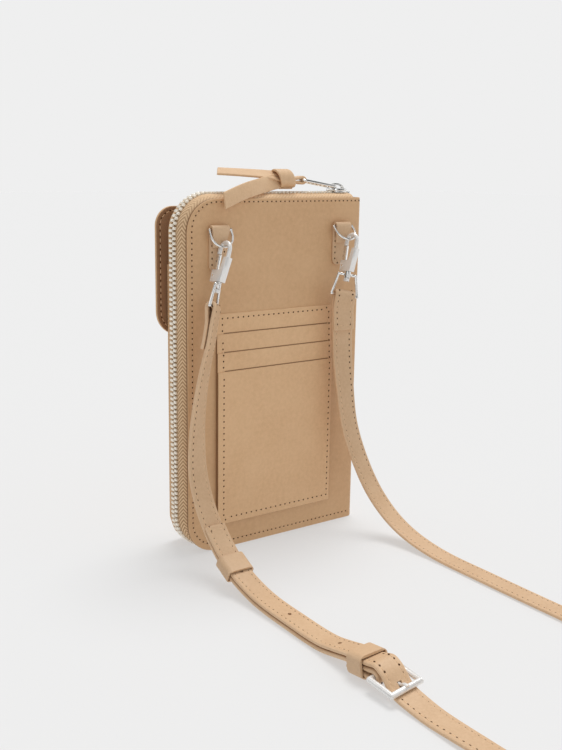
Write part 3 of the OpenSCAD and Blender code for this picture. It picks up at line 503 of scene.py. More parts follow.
def one_stitch():
    """A stitch and the needle hole past it, a dark disc of painted shade: points as along, across and out,
    and the faces of each.
    """
    points = [(s, r * math.cos(t), h + r * math.sin(t)) for s, h, r in thread_rings
              for t in np.radians(range(0, 360, 60))]
    faces = tube_faces(len(thread_rings), 6)
    hole = len(points)
    points += [(hole_middle + hole_half_length * math.cos(t), hole_half_width * math.sin(t), 0)
               for t in np.radians(range(0, 360, 45))]
    points += [(hole_middle, 0, hole_crown), (hole_middle, 0, hole_root)]
    beside = [(hole + k, hole + (k + 1) % 8) for k in range(8)]
    hole_faces = [(a, b, hole + 8) for a, b in beside] + [(b, a, hole + 9) for a, b in beside]
    return mm * np.array(points), faces, hole_faces


def sew(name, rows, body, pitch=stitch_pitch):
    """Stitches along rows of places, each with its direction and the way out of the leather."""
    shape, thread_faces, hole_faces = one_stitch()
    shape[:, 0] *= pitch / stitch_pitch
    points, faces, marks = [], [], []
    for row in rows:
        places, runs, outs = (np.array([np.array(spot[k], float) for spot in row]) for k in range(3))
        gone = distances(places)
        count = max(1, round(gone[-1] / pitch))
        for mark in (np.arange(count) + 0.5) * gone[-1] / count:
            place, run, out = (read_at(mark, gone, table) for table in (places, runs, outs))
            run = unit(run)
            out = unit(out - out.dot(run) * run)
            first = len(points) * len(shape)
            points.append(place + shape @ np.array((run, np.cross(out, run), out)))
            faces += [tuple(first + k for k in f) for f in thread_faces + hole_faces]
            marks += [0] * len(thread_faces) + [1] * len(hole_faces)
    piece = new_piece(name, np.concatenate(points), faces)
    faced(piece, thread, needle_hole_shade)
    piece.data.polygons.foreach_set("material_index", marks)
    softened(piece, 80)
    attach(piece, body)
    return piece


def sides_of(path, offset, face):
    """Places on the band's face beside its middle line: place, direction of the run, and outwards."""
    found = []
    for i, point in enumerate(path):
        run = run_at(path, i)
        width = width_at(point, run)
        out = face * np.cross(run, width)
        found.append((point[:3] + offset * width + row_height * out, run, out))
    return found


def across(path, end, face):
    """Places of a row across the band, near one of its ends; the band is fuller in its middle."""
    inset = round(end_inset / path_step)
    i = inset if end < 0 else len(path) - 1 - inset
    run = run_at(path, i)
    width = width_at(path[i], run)
    out = face * np.cross(run, width)
    return [(path[i][:3] + u * edge_offset * width + (1.0 - 0.12 * abs(u)) * mm * out, width, out)
            for u in (-1, 0, 1)]


for name, path in (("short_strap", short_path), ("long_strap", long_path)):
    strap_rows = [sides_of(path, side * edge_offset, face) for side in (-1, 1) for face in (-1, 1)]
    strap_rows += [across(path, end, face) for end in (-1, 1) for face in (-1, 1)]
    sew(name + "_stitches", strap_rows, "case")


# Metal fittings: rings, wires and the slider are plated with polished nickel, a little hazed by
# handling. The clasps, the buckle's frame and its prong have a duller, paler plate.
def plated(name, metallic, rough, spread):
    """A plated metal with a faint haze in its tone and its gloss."""
    made, tree, shader = material(name, metallic=metallic)
    haze = noise(tree, 90.0, 3.0)
    tree.links.new(mixed(tree, haze, srgb(230, 228, 225), srgb(246, 245, 243)), shader.inputs["Base Color"])
    tree.links.new(sums(tree, "ADD", sums(tree, "MULTIPLY", haze, spread), rough), shader.inputs["Roughness"])
    return made


nickel = plated("nickel", 0.92, 0.07, 0.1)
cast_nickel = plated("cast_nickel", 0.28, 0.16, 0.12)


def polished(node, body, bevel, segments=2, angle=35, made=nickel, fuller=0.0):
    """The node's own shape with its sharp edges broken, its faces smooth and a better finish."""
    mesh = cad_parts[node].data.copy()
    piece = bpy.data.objects.new(node + "_finished", mesh)
    bpy.context.scene.collection.objects.link(piece)
    shape = bmesh.new()
    shape.from_mesh(mesh)
    bmesh.ops.remove_doubles(shape, verts=shape.verts, dist=0.002 * mm)
    if bevel or made not in (nickel, cast_nickel):
        bmesh.ops.dissolve_limit(shape, angle_limit=math.radians(0.05), verts=shape.verts, edges=shape.edges)
    for vertex in shape.verts:
        vertex.co += fuller * vertex.normal
    shape.to_mesh(mesh)
    shape.free()
    faced(piece, made)
    if bevel:
        modified(piece, "BEVEL", width=bevel, segments=segments, limit_method="ANGLE",
                 angle_limit=math.radians(angle))
    softened(piece, angle)
    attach(piece, body)
    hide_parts(node)
    return piece


# Card-side panel and spine: one piece of grained leather, turned in at its edges, pressed along its
# seam and wrapped round the spine
case_width, case_height, case_depth, corner, spine_radius, cover_leather = 111, 185, 19, 17, 3, 1.4
fold_x = case_width - spine_radius
turned_edge, turned_rise = [(0.2, 0.24), (0.3, 0.12), (0.5, 0.04)], 0.4
seam_inset, seam_rise, panel_pitch = 2.7, 1.0, 2.8 * mm
panel_leather = leather("panel_leather", (208, 166, 123), (223, 185, 142), clouds=38.0, wear_and_sheen=0.35)
# Cut edges: dark leather. The same dark tone also serves as painted shade: along the panel's rim beside the
# zip tape, along the card sheets' sides and in the card slots' mouths.
cut_edge_and_shade = leather("cut_edge_and_shade", (132, 96, 62), (154, 116, 80), pebbles=2600.0, wear_and_sheen=0.1, depth=0.15)


def block(name, low, high):
    """A box added at its size and place."""
    bpy.ops.object.select_all(action="DESELECT")
    bpy.ops.mesh.primitive_cube_add(size=1, location=(low + high) / 2)
    piece = bpy.context.object
    piece.name = piece.data.name = name
    piece.scale = high - low
    bpy.ops.object.transform_apply(location=True, rotation=True, scale=True)
    return piece


def pick(kind, test):
    """In edit mode, only the parts whose middle passes the test are selected."""
    bpy.ops.mesh.select_mode(type=kind)
    bpy.ops.mesh.select_all(action="DESELECT")
    mesh = bpy.context.edit_object.data
    shape = bmesh.from_edit_mesh(mesh)
    for part in {"FACE": shape.faces, "EDGE": shape.edges, "VERT": shape.verts}[kind]:
        points = [part.co] if kind == "VERT" else [v.co for v in part.verts]
        part.select_set(all(test((p - home) / mm) for p in points))
    shape.select_flush_mode()
    bmesh.update_edit_mesh(mesh)


def near(a, b, gap=0.05):
    return abs(a - b) < gap


def rounded_corners(places, radius, segments=14):
    """In edit mode, the block's edges that run through its depth at these x and z are rounded."""
    for x, z in places:
        pick("EDGE", lambda p: near(p.x, x) and near(p.z, z))
        bpy.ops.mesh.bevel(offset=radius * mm, segments=segments, affect="EDGES")


def pressed(steps, keep_open=True):
    """In edit mode, loops set into the picked face: each step's width and rise, in millimetres."""
    for width, rise in steps:
        bpy.ops.mesh.inset(thickness=width * mm, depth=rise * mm, use_boundary=not keep_open)


panel = block("card_side_panel", at(0, turned_rise, 0), at(fold_x, cover_leather, case_height))
bpy.ops.object.mode_set(mode="EDIT")
rounded_corners([(0, 0), (0, case_height)], corner)
pick("FACE", lambda p: near(p.x, fold_x))
bpy.ops.mesh.delete(type="FACE")
pick("FACE", lambda p: near(p.y, turned_rise))
pressed(turned_edge + [(1.2, 0.0)])
bpy.ops.transform.translate(value=(0, 0, seam_rise * mm))
pressed([(0.15, -0.03), (0.35, -0.14), (0.35, 0.14), (1.2, 0.03)])
pick("EDGE", lambda p: near(p.x, fold_x))
bpy.ops.mesh.spin(steps=8, angle=-math.pi / 2, center=at(fold_x, spine_radius, 0), axis=(0, 0, 1))
bpy.ops.mesh.extrude_region_move(
    TRANSFORM_OT_translate={"value": (0, (case_depth - 2 * spine_radius) * mm, 0)})
bpy.ops.mesh.spin(steps=8, angle=-math.pi / 2, center=at(fold_x, case_depth - spine_radius, 0),
                  axis=(0, 0, 1))
bpy.ops.mesh.edge_face_add()
bpy.ops.object.mode_set(mode="OBJECT")
recalculated(panel)
faced(panel, panel_leather, cut_edge_and_shade)
# The rim's faces take the dark edge tone: the leather's cut edge, and painted shade in the gap along the zip
# tape
for polygon in panel.data.polygons:
    depth = (polygon.center.y - home.y) / mm
    on_rim = abs(polygon.normal.y) < 0.2 and polygon.center.x < at(fold_x, 0, 0).x
    polygon.material_index = int(on_rim and 0.5 < depth < 1.3)
softened(panel, 50)
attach(panel, "case")
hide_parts("back_cover")


def arc(x, z, radius, start, way, step=6):
    """Places a quarter turn round a corner's centre; way is 1 or -1."""
    return [(x + radius * math.cos(t), z + radius * math.sin(t))
            for t in np.radians(np.arange(start, start + way * 91, way * step))]


def outline(left, foot, right, top, radius):
    """Places along a seam at x and z, from the right foot round by the left."""
    return ([(right, foot)] + arc(left + radius, foot + radius, radius, 270, -1)
            + arc(left + radius, top - radius, radius, 180, -1) + [(right, top)])


def seam_row(flat, y, out):
    """A row of places at x and z in short steps; y may follow the height."""
    flat = np.array(flat, float)
    gone = distances(flat)
    marks = np.linspace(0, gone[-1], int(gone[-1]) + 2)
    row = [np.array(at(x, y(z) if callable(y) else y, z)) for x, z in read_at(marks, gone, flat)]
    return [(row[i], unit(row[min(i + 1, len(row) - 1)] - row[max(i - 1, 0)]), np.array((0, out, 0)))
            for i in range(len(row))]


panel_seam = outline(seam_inset, seam_inset + seam_rise, fold_x + 1, case_height - seam_inset + seam_rise,
                     corner - seam_inset)
sew("panel_stitches", [seam_row(panel_seam, 0.03, -1)], "case", panel_pitch)

# Linings and boards: brown twill glued over stiff grey board, with the inner card sheets and the slip
# pocket in the same cloth. They are seen when the pouch is opened.
twill, twill_in, twill_out = effect(
    "twill", [("Tone", "Color", (0.2, 0.1, 0.05, 1)), ("Ribs", "Float", 1400.0)],
    [("Color", "Color"), ("Height", "Float")])
leant = added(twill, "Mapping", Vector=own_place(twill), Rotation=(0.0, math.radians(35), 0.0)).outputs[0]
rib = added(twill, "TexWave", {"bands_direction": "X"}, Vector=leant, Scale=twill_in["Ribs"],
            Distortion=0.6).outputs[1]
slub = noise(twill, 220.0, 4.0)
shaded = mixed(twill, sums(twill, "MULTIPLY", rib, 0.35), twill_in["Tone"], (0.03, 0.018, 0.01, 1))
dusty = mixed(twill, sums(twill, "MULTIPLY", slub, 0.3), shaded, (0.5, 0.36, 0.25, 1))
twill.links.new(dusty, twill_out.inputs["Color"])
twill.links.new(rib, twill_out.inputs["Height"])
lining_cloth, tree, shader = material("lining_cloth", roughness=0.85, specular=0.2)
cloth = placed_in(tree, twill, Tone=srgb(132, 98, 70))
tree.links.new(cloth["Color"], shader.inputs["Base Color"])
bumped(tree, shader, cloth["Height"], 0.4, 0.1 * mm)
grey_board, tree, shader = material("grey_board", roughness=0.9, specular=0.2)
fibre = noise(tree, 900.0, 6.0)
tree.links.new(mixed(tree, fibre, srgb(160, 150, 132), srgb(196, 188, 170)), shader.inputs["Base Color"])
bumped(tree, shader, fibre, 0.3, 0.1 * mm)
for node in ("back_lining", "front_lining", "inner_card_sheets", "inner_slip_pocket"):
    body = "case" if node in ("back_lining", "inner_card_sheets") else "front_half"
    polished(node, body, 0.15 * mm, made=lining_cloth)
for node, body in (("back_board", "case"), ("front_board", "front_half")):
    polished(node, body, 0, made=grey_board)

# Phone-side panel: the same leather as the card side, turned in and stitched down at its edges and cut
# off at the fold on which the pouch opens
far_inset = 2.4
stitch_groove = [(0.35, -0.14), (0.35, 0.12), (1.2, 0.03)]
front_panel = block("phone_side_panel", at(0, case_depth - cover_leather, 0),
                    at(fold_x - 0.4, case_depth - turned_rise, case_height))
bpy.ops.object.mode_set(mode="EDIT")
rounded_corners([(0, 0), (0, case_height)], corner)
pick("FACE", lambda p: near(p.y, case_depth - turned_rise))
pressed(turned_edge + [(1.2, 0.0)] + stitch_groove, keep_open=False)
bpy.ops.object.mode_set(mode="OBJECT")
faced(front_panel, panel_leather)
softened(front_panel, 50)
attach(front_panel, "front_half")
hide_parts("front_cover")
front_seam = outline(far_inset, far_inset, fold_x - 2.8, case_height - far_inset, corner - far_inset)
sew("phone_side_stitches", [seam_row(front_seam, case_depth - 0.03, 1)], "front_half", panel_pitch)

# Zip tapes: woven herringbone tape, a flange sewn in behind each panel and a band up to the teeth. Its
# chevrons follow the tape's own map, in millimetres along it and across it; the strip that the teeth
# are clamped on is plain, and the run along the top is painted paler, as painted light from above.
zip_stand, zip_lift, tape_out, tape_in, zip_end, tape_sewn = 3, 0.4, 2.1, 1.3, 106, 6
foot_line = zip_lift + zip_stand
chevron_apex, chevron_slope, chevron_pitch = 8.0, 1.1, 2.0
top_ends, corner_ends, plain_from, plain_to = 89.0, 116.0, 11.7, 12.1
tape_cloth, tree, shader = material("tape_cloth", roughness=0.8, specular=0.25)
along, over = (added(tree, "SeparateXYZ", Vector=added(tree, "UVMap").outputs[0]).outputs[k] for k in (0, 1))
from_apex = sums(tree, "ABSOLUTE", sums(tree, "SUBTRACT", over, chevron_apex), 0)
slanted = sums(tree, "SUBTRACT", along, sums(tree, "MULTIPLY", from_apex, chevron_slope))
twill_line = sums(tree, "FRACT", sums(tree, "DIVIDE", slanted, chevron_pitch), 0)
raised = sums(tree, "MULTIPLY", sums(tree, "PINGPONG", twill_line, 0.5), 2.0)
yarn = noise(tree, 1500.0)
woven = mixed(tree, raised, srgb(150, 112, 76), srgb(250, 217, 176))
dusted = mixed(tree, sums(tree, "MULTIPLY", yarn, 0.25), woven, srgb(196, 158, 118))
# Painted light: the run along the top is mixed towards a paler tone, as the light from above falls on it
top_light_share = added(tree, "MapRange", Value=along, From_Min=corner_ends, From_Max=top_ends, To_Max=0.75).outputs[0]
paler = mixed(tree, top_light_share, dusted, srgb(232, 197, 158))
under_teeth = added(tree, "MapRange", Value=over, From_Min=plain_from, From_Max=plain_to).outputs[0]
tree.links.new(mixed(tree, under_teeth, paler, srgb(172, 140, 104)), shader.inputs["Base Color"])
bumped(tree, shader, raised, 0.7, 0.25 * mm)


def zip_places(out, step=5):
    """The zip's course at a distance out from the panel's edge: x, z and the way outwards."""
    radius = corner + out
    found = [(x, case_height + out, 0, 1) for x in np.linspace(zip_end, corner, 30)]
    for z, start in ((case_height - corner, 90), (foot_line + corner, 180)):
        found += [(corner + radius * math.cos(t), z + radius * math.sin(t), math.cos(t), math.sin(t))
                  for t in np.radians(np.arange(start, start + 91, step))]
    return found + [(x, foot_line - out, 0, -1) for x in np.linspace(corner, zip_end, 30)]


def tape(name, node, body, y, side):
    """A tape half as an L-shaped band with a soft bend and a cord along its free edge."""
    outer = [(-tape_sewn, 0), (-0.5, 0), (0.1, 0.2), (0.8, 0.9), (1.4, 1.8), (1.85, 2.9), (tape_out, 4.2),
             (tape_out, 5.3), (tape_out, 7.4), (tape_out - 0.2, 7.9)]
    inner = [(tape_in, 7.9), (tape_in, 5.2), (tape_in, 4.2), (tape_in - 0.2, 3.1), (0.7, 2.2), (0.1, 1.4),
             (-0.5, 0.8), (-tape_sewn, 0.8)]
    profile = outer + inner
    places = zip_places(0)
    points = [at(x + o * nx, y + side * d, z + o * nz) for x, z, nx, nz in places for o, d in profile]
    piece = new_piece(name, points, tube_faces(len(places), len(profile)))
    gone, reach = distances(np.array(places)[:, :2]), distances(np.array(profile))
    layer = piece.data.uv_layers.new(name="tape")
    for loop in piece.data.loops:
        i, k = divmod(loop.vertex_index, len(profile))
        layer.data[loop.index].uv = (gone[i], reach[k])
    recalculated(piece)
    faced(piece, tape_cloth)
    softened(piece, 50)
    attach(piece, body)
    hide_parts(node)


tape("card_side_tape", "zip_tape_back", "case", cover_leather, 1)
tape("phone_side_tape", "zip_tape_front", "front_half", case_depth - cover_leather, -1)

# Zip teeth: stamped metal teeth clamped on the tapes' cords, a little shorter on the card side, and the
# two rows meshed
tooth_pitch, tooth_long, tooth_high, tooth_reach = 2.45, 1.42, 2.5, 2.95
tooth_stand, tooth_ease = 0.12, 0.26
zip_metal, tree, shader = material("zip_metal", metallic=0.32, roughness=0.3)
cast = noise(tree, 300.0)
tree.links.new(mixed(tree, cast, srgb(244, 233, 214), srgb(255, 248, 236)), shader.inputs["Base Color"])
tooth = block("tooth", Vector((-tooth_long / 2, 0, -tooth_high / 2)) * mm,
              Vector((tooth_long / 2, tooth_reach, tooth_high / 2)) * mm)
bpy.ops.object.mode_set(mode="EDIT")
bpy.ops.mesh.select_all(action="SELECT")
bpy.ops.mesh.bevel(offset=tooth_ease * mm, segments=2, affect="EDGES")
bpy.ops.object.mode_set(mode="OBJECT")
tooth_points = np.array([v.co for v in tooth.data.vertices])
tooth_faces = [tuple(p.vertices) for p in tooth.data.polygons]
bpy.data.objects.remove(tooth)


def teeth(name, node, body, y, side, shift, reach):
    """One row: a tooth at every pitch along the zip's course, reaching to the other row's side."""
    places = np.array(zip_places(zip_stand + tooth_stand - tooth_high / 2, 3))
    gone = distances(places[:, :2])
    shape = tooth_points * (1, reach / tooth_reach, 1)
    points, faces = [], []
    for mark in np.arange(tooth_pitch * (0.5 + shift), gone[-1] - tooth_pitch / 2, tooth_pitch):
        x, z, nx, nz = read_at(mark, gone, places)
        out = unit(np.array((nx, 0, nz)))
        ways = np.array((np.cross((0, 1, 0), out), (0, side, 0), out))
        first = len(points) * len(tooth_points)
        points.append(np.array(at(x, y, z)) + shape @ ways)
        faces += [tuple(first + k for k in f) for f in tooth_faces]
    piece = new_piece(name, np.concatenate(points), faces)
    recalculated(piece)
    faced(piece, zip_metal)
    softened(piece, 60)
    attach(piece, body)
    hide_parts(node)


teeth("card_side_teeth", "zip_teeth_back", "case", 7.2, 1, 0, 2.25)
teeth("phone_side_teeth", "zip_teeth_front", "front_half", 12.8, -1, 0.5, 2.95)
for node, body in (("zip_stops_back", "case"), ("zip_stops_front", "front_half")):
    polished(node, body, 0.3 * mm)

# Slider and its wire loop: a cast slider of two plates with side lips, a wedge between the rows and a
# bridge on top, and a bent wire that is held under the bridge
slider_left, slider_right, slider_near, slider_far, slider_middle = 95.6, 105.4, 5.0, 14.0, 9.5
lip_width, bent_step = 1.1, 0.5 * mm
bridge_line = [(96.5, 188.7), (96.3, 190), (96.7, 191.2), (98, 191.85), (100.4, 191.9), (102.9, 191.4),
               (104.5, 190.3), (104.8, 188.8)]


def laid(places, step, passes):
    """Places in millimetres, each with its turn and roll, as an even path in the part's frame."""
    return evened(smooth([np.array((*at(*p[:3]), *p[3:])) for p in places]), step=step, passes=passes)


def ribbon(width, thickness):
    """The section of a flat ribbon with soft edges."""
    u, v = width / 2, thickness / 2
    upper = [(-u, 0.4 * v), (-u + 0.15, 0.85 * v), (-u + 0.5, v), (-u / 3, v), (u / 3, v), (u - 0.5, v),
             (u - 0.15, 0.85 * v), (u, 0.4 * v)]
    return [(a * mm, b * mm) for a, b in upper + [(-a, -b) for a, b in upper]]


slider_parts = []
for name, foot, top in (("slider_top", 188.25, 189.4), ("slider_bottom", 184.0, 185.15)):
    plate = block(name, at(slider_left, slider_near, foot), at(slider_right, slider_far, top))
    bpy.ops.object.mode_set(mode="EDIT")
    for x, radius in ((slider_left, 2.0), (slider_right, 3.2)):
        for y in (slider_near, slider_far):
            pick("EDGE", lambda p: near(p.x, x) and near(p.y, y))
            bpy.ops.mesh.bevel(offset=radius * mm, segments=5, affect="EDGES")
    bpy.ops.object.mode_set(mode="OBJECT")
    modified(plate, "BEVEL", width=0.4 * mm, segments=3, limit_method="ANGLE", angle_limit=math.radians(50))
    slider_parts.append(plate)
for y in (slider_near, slider_far - lip_width):
    for foot, top in ((185.0, 185.9), (187.5, 188.4)):
        lip = block("slider_lip", at(slider_left + 0.6, y, foot), at(slider_right - 1.6, y + lip_width, top))
        modified(lip, "BEVEL", width=0.2 * mm, segments=2)
        slider_parts.append(lip)
wedge = block("slider_wedge", at(102, 9.52, 184.6), at(105, 9.78, 188.8))
modified(wedge, "BEVEL", width=0.08 * mm, segments=2)
bridge = swept("slider_bridge", laid([(x, slider_middle, z, 90, 0) for x, z in bridge_line], bent_step, 1),
               ribbon(2.6, 0.9))
only(plate)
for part in slider_parts + [wedge, bridge]:
    part.select_set(True)
bpy.ops.object.join()
slider = bpy.context.object
slider.name = slider.data.name = "zip_slider_finished"
faced(slider, nickel)
softened(slider, 40)
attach(slider, "slider")
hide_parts("zip_slider")
polished("pull_wire", "pull_wire", 0, fuller=0.12 * mm)

# Card slots: four sheets of the same leather, one on another, each with a turned top edge, sewn down
# together along their sides and foot. A thin dark strip over each slot's mouth is painted shade, where the
# gap between the sheets lies in shadow.
patch_left, patch_right, patch_foot, sheet_thickness = 16.6, 91.1, 14.6, 0.6
sheet_edge, sheet_rise = [(0.12, 0.2), (0.2, 0.12), (0.4, 0.06)], 0.38
sheet_tops = (127.2, 116.8, 107.0, 97.2)
strip_height, strip_left, strip_right, strip_stand = 0.55, 20.9, 88.4, 0.07
patch_leather = leather("patch_leather", (219, 177, 133), (233, 195, 152), clouds=45.0, wear_and_sheen=0.5)
for number, top in enumerate(sheet_tops, 1):
    sheet_front = -sheet_thickness * number + sheet_rise
    sheet = block("card_sheet_leather_" + str(number), at(patch_left, sheet_front, patch_foot),
                  at(patch_right, -sheet_thickness * (number - 1), top))
    bpy.ops.object.mode_set(mode="EDIT")
    pick("FACE", lambda p: near(p.y, sheet_front))
    pressed(sheet_edge, keep_open=False)
    bpy.ops.object.mode_set(mode="OBJECT")
    faced(sheet, patch_leather, cut_edge_and_shade)
    # The sheets' side faces take the dark edge tone: their cut edges, and painted shade along the patch's
    # sides
    for polygon in sheet.data.polygons:
        polygon.material_index = int(abs(polygon.normal.y) < 0.75 and polygon.normal.z < 0.3)
    softened(sheet, 60)
    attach(sheet, "case")
    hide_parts("card_sheet_" + str(number))
# Painted shade: a thin dark strip over the mouth of each lower slot, where the gap between the sheets is in
# shadow
shade_strips = []
for number, top in enumerate(sheet_tops[1:], 1):
    strip_front = -sheet_thickness * number - strip_stand
    shade_strips.append(block("slot_shade_strip", at(strip_left, strip_front, top), at(strip_right, 0, top + strip_height)))
for shade_strip in shade_strips:
    shade_strip.select_set(True)
bpy.ops.object.join()
shade_strip = bpy.context.object
shade_strip.name = shade_strip.data.name = "card_slot_shade_strips"
faced(shade_strip, cut_edge_and_shade)
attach(shade_strip, "case")


def patch_front(z):
    """How far out the outermost sheet's face is at a height."""
    return -sheet_thickness * (1 + sum(z < top for top in sheet_tops[1:]))


patch_seam = [(20.1, 124.8), (20.1, 17.9), (89.2, 17.9), (89.2, 124.8), (20.1, 124.8)]
sew("card_slot_stitches", [seam_row(patch_seam, patch_front, -1)], "case")

# Strap tabs: a leather tongue with a rounded foot, sewn to the panel, folded forward over the ring's bar
# and tucked behind it
tab_width, tab_thickness, tab_foot, tab_corner, tab_fold, fold_steps = 10, 1.2, 148.9, 3.4, 9, 3
ring_y, ring_z = -2.25, 169.9
for side, x in (("left", 17.2), ("right", 95.5)):
    tab_left, tab_right = x - tab_width / 2, x + tab_width / 2
    tab = block("strap_tab_" + side, at(tab_left, -tab_thickness, tab_foot), at(tab_right, 0, ring_z))
    bpy.ops.object.mode_set(mode="EDIT")
    rounded_corners([(tab_left, tab_foot), (tab_right, tab_foot)], tab_corner, 6)
    pick("FACE", lambda p: near(p.z, ring_z))
    bpy.ops.mesh.spin(steps=10, angle=-math.pi, center=at(x, ring_y, ring_z), axis=(1, 0, 0))
    for _ in range(fold_steps):
        bpy.ops.mesh.extrude_region_move(
            TRANSFORM_OT_translate={"value": (0, 0.69 * mm, -tab_fold / fold_steps * mm)})
        bpy.ops.transform.resize(value=(0.9, 1, 1), center_override=at(x, ring_y, ring_z))
    bpy.ops.object.mode_set(mode="OBJECT")
    recalculated(tab)
    faced(tab, strap_leather)
    modified(tab, "BEVEL", width=0.28 * mm, segments=2, limit_method="ANGLE", angle_limit=math.radians(50))
    softened(tab, 45)
    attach(tab, "case")
    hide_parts("tab_" + side)
    tab_seam = [(x - 3.6, 165), (x - 3.6, 151.6), (x - 2.2, 150.5), (x + 2.2, 150.5), (x + 3.6, 151.6),
                (x + 3.6, 165)]
    sew("tab_stitches_" + side, [seam_row(tab_seam, -tab_thickness, -1)], "case")

# D-rings and swivel clasps: bent wire rings held by the tabs, and cast clasps that hang in them, each
# with a sprung gate on a riveted pin and a wire bail for the strap
for side in ("left", "right"):
    polished("ring_" + side, "ring_" + side, 0, fuller=-0.12 * mm)
    polished("hook_" + side, "hook_" + side, 0.3 * mm, made=cast_nickel)
    polished("gate_" + side, "gate_" + side, 0.3 * mm)
    polished("gate_pin_" + side, "hook_" + side, 0.12 * mm)
    polished("bail_" + side, "case", 0)


# Keepers: bands of strap leather, pared and glued into loops. One is fixed by the buckle, and the loose
# one slides on the strap and holds the tail down.
def keeper(node, body):
    """The node's own band with its four outer long edges well rounded and the rest eased."""
    band = polished(node, body, 0, made=strap_leather)
    shape = bmesh.new()
    shape.from_mesh(band.data)
    middle = sum((v.co for v in shape.verts), Vector()) / len(shape.verts)
    lengthways = [e for e in shape.edges if abs((e.verts[0].co - e.verts[1].co).y) > 5 * mm]
    lengthways.sort(key=lambda e: -((e.verts[0].co + e.verts[1].co) / 2 - middle).length)
    bmesh.ops.bevel(shape, geom=lengthways[:4], offset=3.0 * mm, segments=8, profile=0.5, affect="EDGES")
    shape.to_mesh(band.data)
    shape.free()
    modified(band, "BEVEL", width=0.3 * mm, segments=2, limit_method="ANGLE", angle_limit=math.radians(50))
    softened(band, 50)
    return band


loose_keeper = keeper("loose_keeper", "keeper")
fixed_keeper = keeper("fixed_keeper", "case")

# Buckle: a bent wire frame, and a prong that turns on its back bar and comes up through the strap.
buckle = polished("buckle_frame", "case", 0, made=cast_nickel, fuller=0.28 * mm)
prong_wire = [(0.82 * math.cos(t) * mm, 0.7 * math.sin(t) * mm) for t in np.radians(range(0, 360, 36))]
prong_line = [(-152.6, 6.2), (-153.2, 7.6), (-154.5, 8.0), (-157, 7.5), (-160, 6.6), (-162.6, 5.6),
              (-164.4, 5.7), (-166.2, 6.8), (-168, 6.7)]
prong = swept("prong_finished", laid([(-1, y, z, 0, 0) for y, z in prong_line], bent_step, 1), prong_wire)
faced(prong, cast_nickel)
softened(prong, 60)
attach(prong, "prong")
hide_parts("buckle_prong")

# Leather pull: one ribbon, passed through the wire loop, wrapped round itself in a knot and left with
# two tails that are cut off aslant
pull_step, cut_reach = 0.7, 12
pull_leather = leather("pull_leather", (217, 179, 139), (233, 200, 162), clouds=80.0)
eye_line = [(64, 194.7), (68, 194.7), (72, 194.8), (74, 195.3), (75.9, 195.55), (77.4, 194.8), (77.4, 193.0),
            (75.9, 192.3), (74, 192.6), (72, 193.0), (68, 193.1), (64, 193.1)]
upper_tail = [(69, 9.5, 195, 90, 60), (64, 9.5, 195.5, 90, 52), (58, 9.4, 196.3, 90, 38),
              (50, 9.3, 197, 90, 31), (40, 9.2, 197.5, 90, 28), (31, 9, 197.9, 90, 26),
              (22.8, 8.8, 198.2, 90, 25)]
lower_tail = [(68, 9.4, 193.6, 90, 80), (63, 9, 193.6, 90, 76), (58, 7.8, 193.2, 90, 72),
              (52, 5.8, 192.2, 90, 72), (44, 2.8, 190.8, 90, 74), (35.2, 0.2, 189.0, 90, 76),
              (27, -1.8, 186.6, 90, 78), (19.8, -2.9, 184, 90, 80)]
wrap = []
for angle in range(-190, 196, 15):
    t = math.radians(angle)
    tuck = 1.2 * max(0, 1 - (angle + 190) / 50)
    wrap.append((63.9 - 1.6 * math.cos(t), 9.4 + (4.3 - tuck) * math.sin(t),
                 194.5 + (4.6 - tuck) * math.cos(t), 0, 0))


def pull_part(name, route, width, thickness, slant=0.0):
    """A stretch of the ribbon along a route in millimetres, its far end cut at a slant."""
    section = ribbon(width, thickness)
    path = laid(route, pull_step * mm, 2)
    part = swept(name, path, section)
    count, last = len(section), len(path) - 1
    for i in range(len(path)):
        share = max(0, 1 - (last - i) * pull_step / cut_reach)
        for k in range(count):
            part.data.vertices[i * count + k].co += Vector(run_at(path, i) * share * slant * section[k][0])
    faced(part, pull_leather)
    softened(part, 50)
    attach(part, "leather_pull")
    return part


knot = pull_part("pull_knot", wrap, 9.0, 1.3)
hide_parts("leather_pull")
pull_part("pull_eye", [(x, slider_middle, z, 90, 0) for x, z in eye_line], 4.6, 1.45)
pull_part("pull_upper_tail", upper_tail, 7.4, 1.2, slant=-0.62)
pull_part("pull_lower_tail", lower_tail, 7.9, 1.2, slant=-0.35)

# Phone pocket: a leather pocket moulded over a block and sewn to the phone side by its sides and foot,
# open at its top and narrower towards the bottom of its inside
pocket_left, pocket_right, pocket_foot, pocket_mouth, pocket_face, pocket_wall = 2.6, 105.4, 4, 151, 25.3, 1.2
pocket_corner, pocket_straight_to, pocket_taper = 12, 14, 12
pocket = block("phone_pocket_leather", at(pocket_left, case_depth, pocket_foot),
               at(pocket_right, pocket_face, pocket_mouth))
bpy.ops.object.mode_set(mode="EDIT")
rounded_corners([(pocket_left, pocket_foot), (pocket_right, pocket_foot)], pocket_corner, 10)
pick("FACE", lambda p: near(p.z, pocket_mouth))
bpy.ops.mesh.inset(thickness=pocket_wall * mm, depth=0)
bpy.ops.mesh.extrude_region_move(
    TRANSFORM_OT_translate={"value": (0, 0, (pocket_foot + pocket_straight_to - pocket_mouth) * mm)})
bpy.ops.mesh.extrude_region_move(TRANSFORM_OT_translate={"value": (0, 0, -pocket_taper * mm)})
bpy.ops.transform.resize(value=(0.8, 1, 1),
                         center_override=at((pocket_left + pocket_right) / 2, case_depth, pocket_foot))
bpy.ops.object.mode_set(mode="OBJECT")
faced(pocket, panel_leather)
modified(pocket, "BEVEL", width=0.9 * mm, segments=3, limit_method="ANGLE", angle_limit=math.radians(60))
softened(pocket, 45)
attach(pocket, "front_half")
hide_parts("phone_pocket")
pocket_seam = outline(pocket_left + 3, pocket_foot + 3, pocket_right - 3, pocket_mouth - 2, 9)
